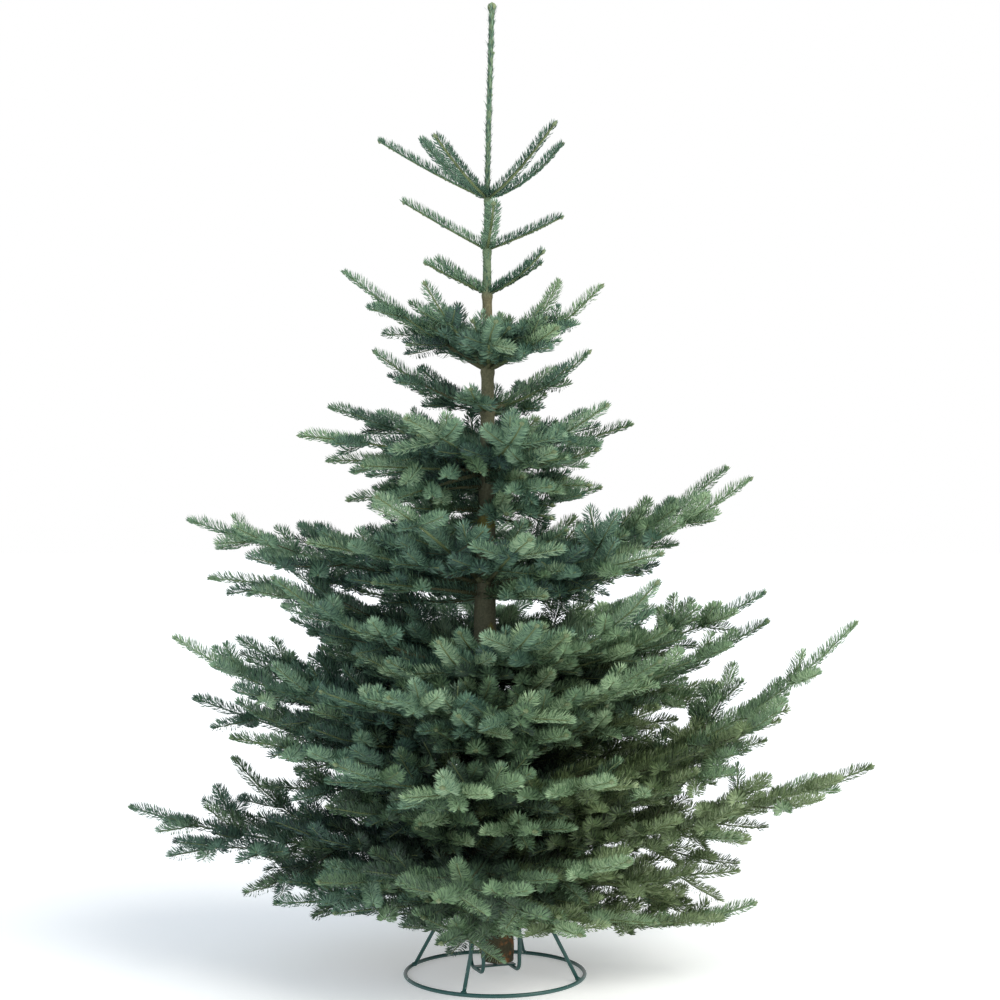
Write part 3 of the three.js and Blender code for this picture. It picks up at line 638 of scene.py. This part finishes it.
def grow_axis(growth, start, heading, normal, aim, length, order, shade):
    """A side branch: a row of years, each bending a little up and towards the way its parent
    grows, with a pair of side branches at the end of each year but the last."""
    rng = growth.rng
    years = max(1, int(round(length / SIDE_STEP[order])))
    spans = np.linspace(*YEAR_TREND, years) * rng.uniform(*YEAR_CHANCE, years)
    spans *= length / spans.sum()
    left = length
    point = start
    thick = 0.0085 * length ** 1.3
    for year, span in enumerate(spans):
        last = year == years - 1
        bend = normal * rng.uniform(*BEND_UP) + aim * rng.uniform(*BEND_ON) + rng.normal(0, WANDER, 3)
        ahead = unit(heading + bend)
        middle = point + heading * span * 0.5
        end = middle + ahead * span * 0.5
        radius = TWIG_RADIUS + thick * (left / length) ** BRANCH_TAPER
        left -= span
        tip_radius = TWIG_RADIUS + thick * (max(left, 0) / length) ** BRANCH_TAPER
        growth.shoot((point, middle, end), normal, (radius, tip_radius), order,
                     dressed(shade, last, SIDE_DRESS), shoot_tint(rng, shade, last, end), last)
        point = end
        heading = ahead
        normal = square_to(heading, normal)
        if last or order >= FINEST_ORDER:
            continue
        for sense in (-1, 1):
            side = left * SIDE_SHARE[order] * rng.uniform(*SIDE_CHANCE)
            if side < SHORTEST_SIDE and left < END_OF_BRANCH:
                continue
            side = max(side, SHORTEST_SIDE * rng.uniform(0.9, 1.3))
            branch(growth, point, heading, normal, sense, side, order, shade)
        if rng.random() < UPRIGHT_CHANCE[order]:
            lifted = unit(heading + normal * rng.uniform(0.5, 1.0) + rng.normal(0, 0.15, 3))
            grow_axis(growth, point, lifted, unit(normal - heading * 0.5), heading,
                      rng.uniform(*UPRIGHT_LENGTH), FINEST_ORDER, shade)


def branch(growth, point, heading, normal, sense, length, order, shade):
    """Starts a side branch to one side, in the plane of its parent, dipping or rising a little."""
    rng = growth.rng
    angle = math.radians(SIDE_ANGLE[min(order, 2)] + rng.normal(0, 4.5))
    away = turned(heading, normal, sense * angle)
    away = unit(away + normal * rng.normal(-SIDE_DIP.get(growth.bough.whorl, USUAL_DIP), 0.17))
    grow_axis(growth, point, away, square_to(away, normal), heading, length,
              min(order + 1, FINEST_ORDER), shade)


def limb_shares(bough):
    """Where each year of a limb starts and ends, as shares of its reach: equal years, then the
    long last one. A bare foot is split off the first where it is clearly shorter than that."""
    end_shoot = min(END_SHOOT, 0.42 * bough.reach)
    older = max(1, int(round((bough.reach - end_shoot) / YEAR_STEP)))
    shares = np.append(np.linspace(0, 1 - end_shoot / bough.reach, older + 1), 1.0)
    foot_share = bough.bare_foot / bough.reach
    return np.insert(shares, 1, foot_share) if shares[1] > foot_share * 1.5 else shares


def limb_path(bough, a, b):
    """The start, middle and end of a stretch of limb. The middle is set so that the curve that
    they draw passes through the bough's own path half way along."""
    start, middle, end = bough.point(np.array([a, (a + b) / 2, b]))
    return start, 2 * middle - (start + end) / 2, end


def grow_bough(growth):
    """A whole bough: its limb along the path of its mass, and side branches from every year."""
    bough = growth.bough
    rng = growth.rng
    shares = limb_shares(bough)
    foot_radius = LIMB_FOOT + LIMB_THICKENING * bough.reach
    hanging_chance = HANGING_CHANCE if bough.whorl > 2 else LOW_HANGING_CHANCE
    for year, (a, b) in enumerate(zip(shares[:-1], shares[1:])):
        path = limb_path(bough, a, b)
        end = path[2]
        heading = unit(end - path[1])
        normal = square_to(heading, UP)
        last = year == len(shares) - 2
        # Shade grows towards the trunk: it thins the needles, and it deepens their tints as painted shade.
        shade = np.clip(1.05 - 1.45 * b, 0, 1)
        radii = SHOOT_RADIUS + foot_radius * (1 - np.array([a, b])) ** LIMB_TAPER
        dress = 0.0 if year == 0 else dressed(shade, last, LIMB_DRESS)
        growth.shoot(path, normal, radii, 0, dress, shoot_tint(rng, shade, last, end), last)
        if last or b * bough.reach < 0.05:
            continue
        left = bough.reach * (1 - b)
        fullness = min(1.0, 0.5 + 0.9 * b)
        for sense in (-1, 1):
            side = min(left * SIDE_SHARE[0] * fullness + 0.015, LONGEST_SIDE) * rng.uniform(0.85, 1.15)
            branch(growth, end, heading, normal, sense, side, 0, shade)
        if rng.random() < LIFTED_CHANCE:
            side = np.clip(left * 0.38, *LIFTED_LENGTH) * rng.uniform(*SIDE_CHANCE)
            lifted = unit(heading + normal * rng.uniform(0.4, 0.9) + bough.side * rng.normal(0, 0.4))
            grow_axis(growth, end, lifted, unit(normal - heading * 0.6), heading, side, 1, shade)
        if rng.random() < hanging_chance:
            side = np.clip(left * 0.42, *HANGING_LENGTH) * rng.uniform(*SIDE_CHANCE)
            hanging = unit(heading - normal * rng.uniform(0.35, 0.8) + bough.side * rng.normal(0, 0.5))
            # A hanging branch counts as more shaded: fewer needles, and tints deepened as painted shade.
            grow_axis(growth, end, hanging, square_to(hanging, normal), heading, side, 1,
                      min(shade + 0.3, 1))


def grow_single_shoot(growth):
    """A bough of the thin top: one needled shoot with no side branches."""
    tint = int(growth.rng.integers(1, 3))
    for a, b in ((0.0, 0.5), (0.5, 1.0)):
        path = limb_path(growth.bough, a, b)
        heading = unit(path[2] - path[0])
        radii = 0.0030 - 0.0010 * np.array([a, b])
        growth.shoot(path, square_to(heading, UP), radii, 0, TOP_DRESS, tint, b == 1.0)


# ---- needles, twigs and buds from the table of shoots ----

START, MIDDLE, END, NORMAL = slice(0, 3), slice(3, 6), slice(6, 9), slice(9, 12)
RADIUS, TIP_RADIUS, ORDER, DRESS, TINT, WHORL, NODE, LAST = range(12, 20)


def on_shoot(rows, t):
    """Place and heading at a share of each shoot: a curve through its start and end, pulled
    towards its middle."""
    t = t[:, None]
    place = (1 - t) ** 2 * rows[:, START] + 2 * t * (1 - t) * rows[:, MIDDLE] + t ** 2 * rows[:, END]
    heading = (1 - t) * (rows[:, MIDDLE] - rows[:, START]) + t * (rows[:, END] - rows[:, MIDDLE])
    return place, unit(heading)


def needle_counts(rows):
    """How many needles each shoot carries."""
    spans = np.linalg.norm(rows[:, END] - rows[:, START], axis=1)
    return np.round(spans * NEEDLES_PER_METRE * rows[:, DRESS]).astype(int)


def needle_arrays(rows, rng):
    """Two triangles for each needle. Needles stand in eight ranks round the upper side of the
    shoot, evenly spaced along it, so that each side makes the teeth of a comb, and the teeth of
    one side stand over the gaps of the other.
    All lean forward by one angle, and the outer half of each is bent up and forward, with its
    widest place at the bend. They close in and shorten over the rounded tip of the shoot. Some
    teeth are one or two tints deeper, as painted shade between the needles."""
    counts = needle_counts(rows)
    which = np.repeat(np.arange(len(rows)), counts)
    index = np.arange(len(which)) - np.repeat(np.cumsum(counts) - counts, counts)
    each = rows[which]
    n = len(which)
    on_top = each[:, WHORL] >= FIRST_BARE_WHORL
    ranks = len(NEEDLE_RANKS)
    tooth = index // ranks
    one_side = index % ranks < ranks / 2
    t = np.clip((tooth + 0.25 + 0.5 * one_side + rng.normal(0, 0.07, n)) * ranks / counts[which], 0.0, 1.0)
    place, heading = on_shoot(each, t)
    normal = square_to(heading, each[:, NORMAL])
    side = np.cross(heading, normal)
    spread = np.where(on_top, TOP_RANKS, 1.0)
    turn = np.radians(np.asarray(NEEDLE_RANKS)[index % ranks] * spread + rng.normal(0, 5, n))
    end = each[:, LAST] * np.clip((t - TIP_START) / (1 - TIP_START), 0, 1)
    lean = np.radians(NEEDLE_LEAN + rng.normal(0, 3, n) - TIP_LEAN * end)
    around = normal * np.cos(turn)[:, None] + side * np.sin(turn)[:, None]
    ahead = heading * np.cos(lean)[:, None] + around * np.sin(lean)[:, None]
    bent = unit(ahead + normal * rng.uniform(0.25, 0.45, (n, 1)) + heading * rng.uniform(0.2, 0.35, (n, 1)))
    closing = np.where(on_top, TOP_CLOSING, TIP_CLOSING) * end
    length = NEEDLE_LENGTH[each[:, WHORL].astype(int)] * rng.uniform(0.9, 1.08, n) * (1 - closing)
    width = NEEDLE_WIDTH * rng.uniform(0.9, 1.1, n)
    radius = each[:, RADIUS] * (1 - t) + each[:, TIP_RADIUS] * t
    foot = place + around * radius[:, None] * 0.8
    middle = foot + ahead * (NEEDLE_BEND * length)[:, None]
    tip = middle + bent * ((1 - NEEDLE_BEND) * length)[:, None]
    face = unit(around + 0.25 * rng.normal(0, 1, (n, 3)))
    across = unit(np.cross(ahead, face)) * (0.5 * width)[:, None]
    points = np.stack([foot, middle + across, middle - across, tip], axis=1).reshape(-1, 3)
    tint = each[:, TINT].astype(int)
    # Painted shade between the needles: a share of teeth, picked by a hash of tooth and shoot, is one or two
    # tints deeper.
    chance = np.mod(tooth * 0.618 + which * 0.371, 1.0)
    deeper = (chance < PAINTED_SHADE_TEETH).astype(int) + (chance < DEEPEST_PAINTED_SHADE_TEETH)
    deeper = np.minimum(deeper, DEPTHS - 1 - tint % DEPTHS)
    return points, blade_faces(n), np.repeat(tint + deeper, 2)


def twig_arrays(rows, sides):
    """A tapering tube along each shoot, in two straight stretches, all of them at once. Its foot
    is flat and its end comes to a middle point. Also says how many faces each has."""
    stops = (0.0, 0.5, 1.0)
    turn = np.linspace(0, 2 * np.pi, sides, endpoint=False)
    rings = []
    for t in stops:
        place, heading = on_shoot(rows, np.full(len(rows), t))
        normal = square_to(heading, rows[:, NORMAL])
        side = np.cross(normal, heading)
        radius = rows[:, RADIUS] * (1 - t) + rows[:, TIP_RADIUS] * t
        ring = side[:, None] * np.cos(turn)[None, :, None] + normal[:, None] * np.sin(turn)[None, :, None]
        rings.append(place[:, None] + ring * radius[:, None, None])
    tip = place[:, None]
    points = np.concatenate([np.stack(rings, axis=1).reshape(len(rows), -1, 3), tip], axis=1)
    k = np.arange(sides)
    foot = np.stack([np.zeros(sides - 2, int), k[2:], k[1:-1]], axis=-1)
    count = len(stops) * sides
    pattern = np.concatenate([ring_faces(len(stops), sides), fan(count, count - sides, sides), foot])
    return points.reshape(-1, 3), repeated(pattern, count + 1, len(rows)), len(pattern)


def repeated(pattern, size, count):
    """One pattern of faces for each of several copies, with so many points to a copy."""
    return (pattern[None] + (np.arange(count) * size)[:, None, None]).reshape(-1, 3)


def bud_arrays(rows, rng, spreads):
    """Small pointed buds at the end of each last shoot: eight faces each, longer than wide."""
    place, heading = on_shoot(rows, np.full(len(rows), 1.0))
    normal = square_to(heading, rows[:, NORMAL])
    side = np.cross(heading, normal)
    pattern = np.array([[0, 2, 1], [0, 3, 2], [0, 4, 3], [0, 1, 4],
                        [5, 1, 2], [5, 2, 3], [5, 3, 4], [5, 4, 1]])
    parts = []
    for spread, size in spreads:
        axis = unit(heading + side * spread)
        long = 0.0052 * size * rng.uniform(0.8, 1.2, len(rows))[:, None]
        wide = 0.0021 * size
        middle = place + axis * long * 0.35
        across = unit(np.cross(axis, normal))
        corners = np.stack([middle - axis * long * 0.5, middle + across * wide, middle + normal * wide,
                            middle - across * wide, middle - normal * wide, middle + axis * long * 0.65],
                           axis=1)
        parts.append((corners.reshape(-1, 3), repeated(pattern, 6, len(rows))))
    return join_arrays(parts)


# ---- trunk ----

TRUNK_RINGS = 520
TRUNK_SIDES = 32
BLISTER_HEIGHT = 0.00055
FURROW_DEPTH = 0.00035
COLLAR_SWELL = 0.0016  # how far a whorl's collar stands out, and more by the trunk's radius
COLLAR_SHARE = 0.07
BUTT_TRIM = 0.10  # how much narrower the butt is trimmed, and over what height
BUTT_TRIM_HEIGHT = 0.022
KNOB = 0.0042  # the radius of the tip under its buds


def bark_noise(turn, height, rng, waves, around, upward):
    """A repeatable relief: the sum of many waves of random direction, all of them closed round
    the trunk."""
    relief = np.zeros_like(turn)
    for _ in range(waves):
        times_round = rng.integers(1, around)
        climb = rng.uniform(-upward, upward)
        relief += np.sin(times_round * turn + climb * height + rng.uniform(0, 6.28))
    return relief / math.sqrt(waves)


def make_trunk(material, rng):
    """The trunk's surface over height and turn: the frame's radius, swollen into a collar at each
    whorl, with blisters and shallow furrows that fade on the young stem."""
    height = np.linspace(BUTT, TREE_TOP - 0.006, TRUNK_RINGS)
    turn = np.linspace(0, 2 * np.pi, TRUNK_SIDES, endpoint=False)
    h, a = np.meshgrid(height, turn, indexing="ij")
    radius = trunk_radius(h)
    for foot, _ in WHORLS.values():
        collar = np.exp(-((h - foot + 0.004) / (0.006 + 0.25 * trunk_radius(foot))) ** 2)
        radius = radius + collar * (COLLAR_SWELL + COLLAR_SHARE * trunk_radius(foot))
    blisters = bark_noise(a, h, rng, 40, 9, 260) * BLISTER_HEIGHT
    furrows = bark_noise(a, h, rng, 40, 17, 900) * FURROW_DEPTH
    age = np.clip((1.35 - h) / 1.2, 0.05, 1)
    radius = radius + (blisters + furrows) * age
    radius = radius * (1 - BUTT_TRIM * np.exp(-((h - BUTT) / BUTT_TRIM_HEIGHT) ** 2))
    under_buds = np.clip((h - (TREE_TOP - 0.030)) / 0.022, 0, 1)
    radius = radius * (1 - under_buds) + KNOB * under_buds
    middle = trunk_at(h)
    points = np.stack([middle[..., 0] + radius * np.cos(a), middle[..., 1] + radius * np.sin(a), h], axis=-1)
    points = np.concatenate([points.reshape(-1, 3), trunk_at(np.array([BUTT, TREE_TOP - 0.005]))])
    return new_piece("trunk_bark", points, shell_faces(TRUNK_RINGS, TRUNK_SIDES), [material])


# ---- stand ----

def polar(radius, turn, z):
    """A place by its distance from the middle, its turn and its height."""
    return np.array([radius * math.cos(turn), radius * math.sin(turn), z])


def make_struts(material):
    """Four leaning struts, each from the base ring in to its bar of the cage and up along it."""
    struts = []
    beside_bar = CAGE_RADIUS + WIRE * 0.75
    foot_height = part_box("strut_back_right")[0][2] + WIRE / 2
    for turn in CAGE_CORNERS:
        out = turn + math.radians(STRUT_FOOT_TURN)
        corners = [polar(STRUT_FOOT + 0.002, out, foot_height + 0.001),
                   polar(STRUT_BEND, out, STRUT_BEND_HEIGHT),
                   polar(beside_bar, turn, STRUT_JOIN[0]),
                   polar(beside_bar, turn, STRUT_JOIN[1])]
        struts.append(tube(rounded_path(corners, 0.012), WIRE / 2, 12))
    return new_piece("stand_struts", *join_arrays(struts), [material])


def make_weld_beads(material):
    """A bead of weld at both ends of each strut."""
    beads = []
    for turn in CAGE_CORNERS:
        foot = polar(STRUT_FOOT + 0.004, turn + math.radians(STRUT_FOOT_TURN), 0.0068)
        beads.append(ellipsoid(foot, (0.0065, 0.0065, 0.0045)))
        beads.append(ellipsoid(polar(CAGE_RADIUS + WIRE * 0.42, turn, 0.152), (0.0042, 0.0042, 0.007)))
    return new_piece("stand_weld_beads", *join_arrays(beads), [material])


def make_cage_bars(material):
    """Two round bars, each bent into a U between two corners of the cage."""
    low_corner, high_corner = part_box("cage_bar_right")
    low = low_corner[2] + WIRE / 2
    top = high_corner[2]
    bars = []
    for start, end in ((1, 2), (3, 0)):
        corners = [polar(CAGE_RADIUS, CAGE_CORNERS[start], top), polar(CAGE_RADIUS, CAGE_CORNERS[start], low),
                   polar(CAGE_RADIUS, CAGE_CORNERS[end], low), polar(CAGE_RADIUS, CAGE_CORNERS[end], top)]
        bars.append(tube(rounded_path(corners, 0.022, 12), WIRE / 2, 12))
    return new_piece("stand_cage_bars", *join_arrays(bars), [material])


def make_base_ring(material):
    """Round wire carried along a circle that lies on the floor."""
    circle = np.linspace(0, 2 * np.pi, 120, endpoint=False)
    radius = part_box("base_ring")[1][1] - WIRE / 2
    height = np.full(len(circle), WIRE / 2)
    path = np.stack([radius * np.cos(circle), radius * np.sin(circle), height], axis=-1)
    return new_piece("stand_base_ring", *tube(path, WIRE / 2, 14, closed=True), [material])


def ellipsoid(middle, half, rows=8, sides=12):
    """A closed ellipsoid over two angles, its poles single points."""
    down = np.linspace(0, np.pi, rows + 1)[1:-1]
    turn = np.linspace(0, 2 * np.pi, sides, endpoint=False)
    p, t = np.meshgrid(down, turn, indexing="ij")
    shell = np.stack([np.sin(p) * np.cos(t), np.sin(p) * np.sin(t), np.cos(p)], axis=-1).reshape(-1, 3)
    points = np.concatenate([shell, [UP], [-UP]]) * np.asarray(half) + np.asarray(middle)
    return points, shell_faces(rows - 1, sides)[:, ::-1]


def make_strip(material):
    """The flat strip across the two bars, its eight-sided section drawn in a little at both ends,
    and the spike that stands on it."""
    low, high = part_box("base_strip")
    length, width, thick = STRIP_SIZE
    section = np.array([[-1, -0.6], [-0.9, -1], [0.9, -1], [1, -0.6],
                        [1, 0.6], [0.9, 1], [-0.9, 1], [-1, 0.6]])
    along = polar(1, math.radians(STRIP_TURN), 0)
    across = polar(1, math.radians(STRIP_TURN + 90), 0)
    middle = low[2] + thick / 2
    rings = []
    for station, size in ((-0.5, 0.9), (-0.49, 1.0), (0.49, 1.0), (0.5, 0.9)):
        rings.append(along * station * length + across * (section[:, :1] * width / 2 * size)
                     + UP * (middle + section[:, 1:] * thick / 2 * size))
    ends = [[along * station * length + UP * middle] for station in (-0.5, 0.5)]
    faces = shell_faces(len(rings), len(section))[:, ::-1]
    spike_path = np.array([[0, 0, low[2] + 0.001], [0, 0, high[2] - 0.006], [0, 0, high[2] - 0.0003]])
    spike = tube(spike_path, [0.004, 0.0038, 0.0014], 12)
    points, faces = join_arrays([(np.concatenate(rings + ends), faces), spike])
    return new_piece("stand_strip", points, faces, [material], smooth=False)


# ---- leader ----

# Stretches of stem with pressed needles: from, to, needles in a metre, usual lean in degrees.
PRESSED = ((1.60, 1.985, 1700, 15), (1.40, 1.595, 700, 22))
PRESSED_LENGTH = 0.014
PRESSED_WIDTH = 0.0022


def make_leader_needles(rng, tints):
    """Pressed needles round the leader and the young stem: each lies almost along the stem."""
    parts = []
    for low, high, density, spread in PRESSED:
        n = int((high - low) * density)
        height = rng.uniform(low, high, n)
        turn = rng.uniform(0, 2 * np.pi, n)
        around = np.stack([np.cos(turn), np.sin(turn), np.zeros(n)], axis=-1)
        foot = trunk_at(height) + around * trunk_radius(height)[:, None] * 0.95
        lean = np.radians(np.abs(rng.normal(spread * 0.5, spread * 0.5, n)) + 4 + 30 * (rng.random(n) < 0.03))
        ahead = UP * np.cos(lean)[:, None] + around * np.sin(lean)[:, None]
        length = PRESSED_LENGTH * rng.uniform(0.7, 1.2, n)
        across = unit(np.cross(ahead, around)) * PRESSED_WIDTH / 2
        middle = foot + ahead * (0.5 * length)[:, None]
        tip = middle + unit(ahead + 0.25 * around) * (0.5 * length)[:, None]
        parts.append(np.stack([foot, middle + across, middle - across, tip], axis=1).reshape(-1, 3))
    points = np.concatenate(parts)
    count = len(points) // 4
    tint = np.repeat(rng.integers(1, 5, count), 2)
    points[:, 2] = np.minimum(points[:, 2], TREE_TOP)
    return new_piece("leader_needles", points, blade_faces(count), tints, tint, smooth=False)


def make_leader_buds():
    """The knob of blunt buds at the tip: one in the middle and five round it, and two single buds
    lower on the leader."""
    top = trunk_at(TREE_TOP)
    buds = [ellipsoid(top + (0, 0, -0.0068), (0.0045, 0.0045, 0.0066), 8, 10)]
    for k in range(5):
        beside = top + polar(0.0052, 2 * math.pi * k / 5 + 0.4, -0.0095)
        buds.append(ellipsoid(beside, (0.0040, 0.0040, 0.0068), 8, 10))
    for height, turn in ((1.895, 0.3), (1.81, 0.9)):
        buds.append(ellipsoid(trunk_at(height) + polar(0.0065, turn, 0), (0.0024, 0.0024, 0.0034), 6, 8))
    return new_piece("leader_buds", *join_arrays(buds), [plain_material("fir_leader_bud", "#87946A", 0.5)])


# ---- build ----

rng = np.random.default_rng(SEED)
foliage_nodes = [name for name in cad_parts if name.startswith("foliage")]
boughs = []
for whorl, (foot, masses) in WHORLS.items():
    main = whorl_boughs(whorl, foot, masses, rng)
    boughs += main
    if int(whorl) < FIRST_BARE_WHORL:
        boughs += boughs_between(main, foot, rng)
shoots = []
for number, bough in enumerate(boughs):
    grow = grow_single_shoot if bough.whorl >= FIRST_BARE_WHORL else grow_bough
    grow(Growth(shoots, bough, foliage_nodes.index(bough.node), np.random.default_rng(SEED + number)))
table = np.array(shoots)

trunk_piece = make_trunk(trunk_material(), rng)
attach(trunk_piece, "root")
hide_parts("trunk")

wire = wire_material()
ring_piece = make_base_ring(wire)
strut_piece = make_struts(wire)
bar_piece = make_cage_bars(wire)
bead_piece = make_weld_beads(wire)
strip_piece = make_strip(wire)
for piece in (ring_piece, strut_piece, bar_piece, bead_piece, strip_piece):
    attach(piece, "root")
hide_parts("base_ring")
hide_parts("strut_back_right", "strut_back_left", "strut_front_left", "strut_front_right")
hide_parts("cage_bar_left", "cage_bar_right")
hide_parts("base_strip")

# Wood: one piece for the limbs and one for the finer twigs.
limb_rows = table[table[:, ORDER] == 0]
limb_points, limb_faces, per_limb = twig_arrays(limb_rows, 6)
limb_tint = np.repeat((limb_rows[:, RADIUS] < YOUNG_LIMB).astype(int), per_limb)
limb_piece = new_piece("bough_limbs", limb_points, limb_faces, [TWIG_BARK, SHOOT_BARK], limb_tint)
twig_rows = table[table[:, ORDER] > 0]
twig_points, twig_faces, per_twig = twig_arrays(twig_rows, 3)
twig_tint = np.repeat((twig_rows[:, LAST] > 0).astype(int), per_twig)
twig_piece = new_piece("twigs", twig_points, twig_faces, [TWIG_BARK, SHOOT_BARK], twig_tint)
ends = table[table[:, LAST] > 0]
bud_piece = new_piece("buds", *join_arrays([
    bud_arrays(ends[ends[:, ORDER] == 0], rng, ((0.0, 2.4), (0.7, 1.9), (-0.7, 1.9))),
    bud_arrays(ends[ends[:, ORDER] > 0], rng, ((0.0, 0.9),)),
]), [BUD_SCALE], smooth=False)
leader_buds = make_leader_buds()
for piece in (limb_piece, twig_piece, bud_piece, leader_buds):
    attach(piece, "root")
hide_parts(*[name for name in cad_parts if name.startswith("bough")])

leader_piece = make_leader_needles(rng, NEEDLE_TINTS)
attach(leader_piece, "root")

# Needles: whole masses together, as many as one piece may hold.
triangles = 2 * np.bincount(table[:, NODE].astype(int), needle_counts(table), len(foliage_nodes))
groups = [[]]
load = 0
for number, count in enumerate(triangles):
    if load + count > PIECE_LIMIT and groups[-1]:
        groups.append([])
        load = 0
    groups[-1].append(number)
    load += count
for number, nodes in enumerate(groups, start=1):
    rows = table[np.isin(table[:, NODE], nodes)]
    points, faces, tint = needle_arrays(rows, np.random.default_rng(SEED + 1000 + number))
    piece = new_piece(f"needles_{number}", points, faces, NEEDLE_TINTS, tint, smooth=False)
    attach(piece, "root")
    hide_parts(*[foliage_nodes[node] for node in nodes])

# ---- stage, light and camera ----

# A matt white acrylic floor, lit a little from below, which softens every shadow on it.
acrylic = plain_material("matt_white_acrylic", "#F2F3F4", 0.9)
acrylic_shader = acrylic.node_tree.nodes["Principled BSDF"]
acrylic_shader.inputs["Emission Color"].default_value = (1, 1, 1, 1)
acrylic_shader.inputs["Emission Strength"].default_value = 0.3
floor_points = 30 * np.array([[-1, -1, 0], [1, -1, 0], [1, 1, 0], [-1, 1, 0]])
floor = new_piece("floor", floor_points, np.array([[0, 1, 2, 3]]), [acrylic])

# The studio round it: white at eye level, and a cool soft grey overhead.
world = bpy.data.worlds.new("studio")
world.use_nodes = True
direction = add_node(world, "ShaderNodeTexCoord").outputs["Generated"]
upward = add_node(world, "ShaderNodeSeparateXYZ", links={"Vector": direction})
glow = add_node(world, "ShaderNodeValToRGB", links={"Fac": upward.outputs["Z"]})
for element, (position, tint) in zip(glow.color_ramp.elements, ((0.28, "#FFFFFF"), (0.55, "#A2AEB9"))):
    element.position = position
    element.color = colour(tint)
world.node_tree.links.new(glow.outputs["Color"], world.node_tree.nodes["Background"].inputs["Color"])
bpy.context.scene.world = world
bpy.context.scene.view_settings.view_transform = "Standard"


def soft_sun(name, direction, elevation, spread, power, tint):
    """A distant lamp as wide as its spread in degrees, shining down from a direction."""
    light = bpy.data.lights.new(name, "SUN")
    light.angle = math.radians(spread)
    light.energy = power
    light.color = colour(tint)[:3]
    lamp = bpy.data.objects.new(name, light)
    lamp.rotation_euler = (math.radians(90 - elevation), 0, math.radians(direction + 90))
    bpy.context.scene.collection.objects.link(lamp)


soft_sun("key_light", -38, 42, 40, 2.38, "#FFFAF0")
soft_sun("fill_light", -135, 30, 50, 0.55, "#DCEBFF")

camera = bpy.data.cameras.new("camera")
camera.sensor_width = SENSOR
camera.lens = LENS
eye = bpy.data.objects.new("camera", camera)
eye.location = EYE
eye.rotation_euler = (math.pi / 2, 0, 0)
bpy.context.scene.collection.objects.link(eye)
bpy.context.scene.camera = eye
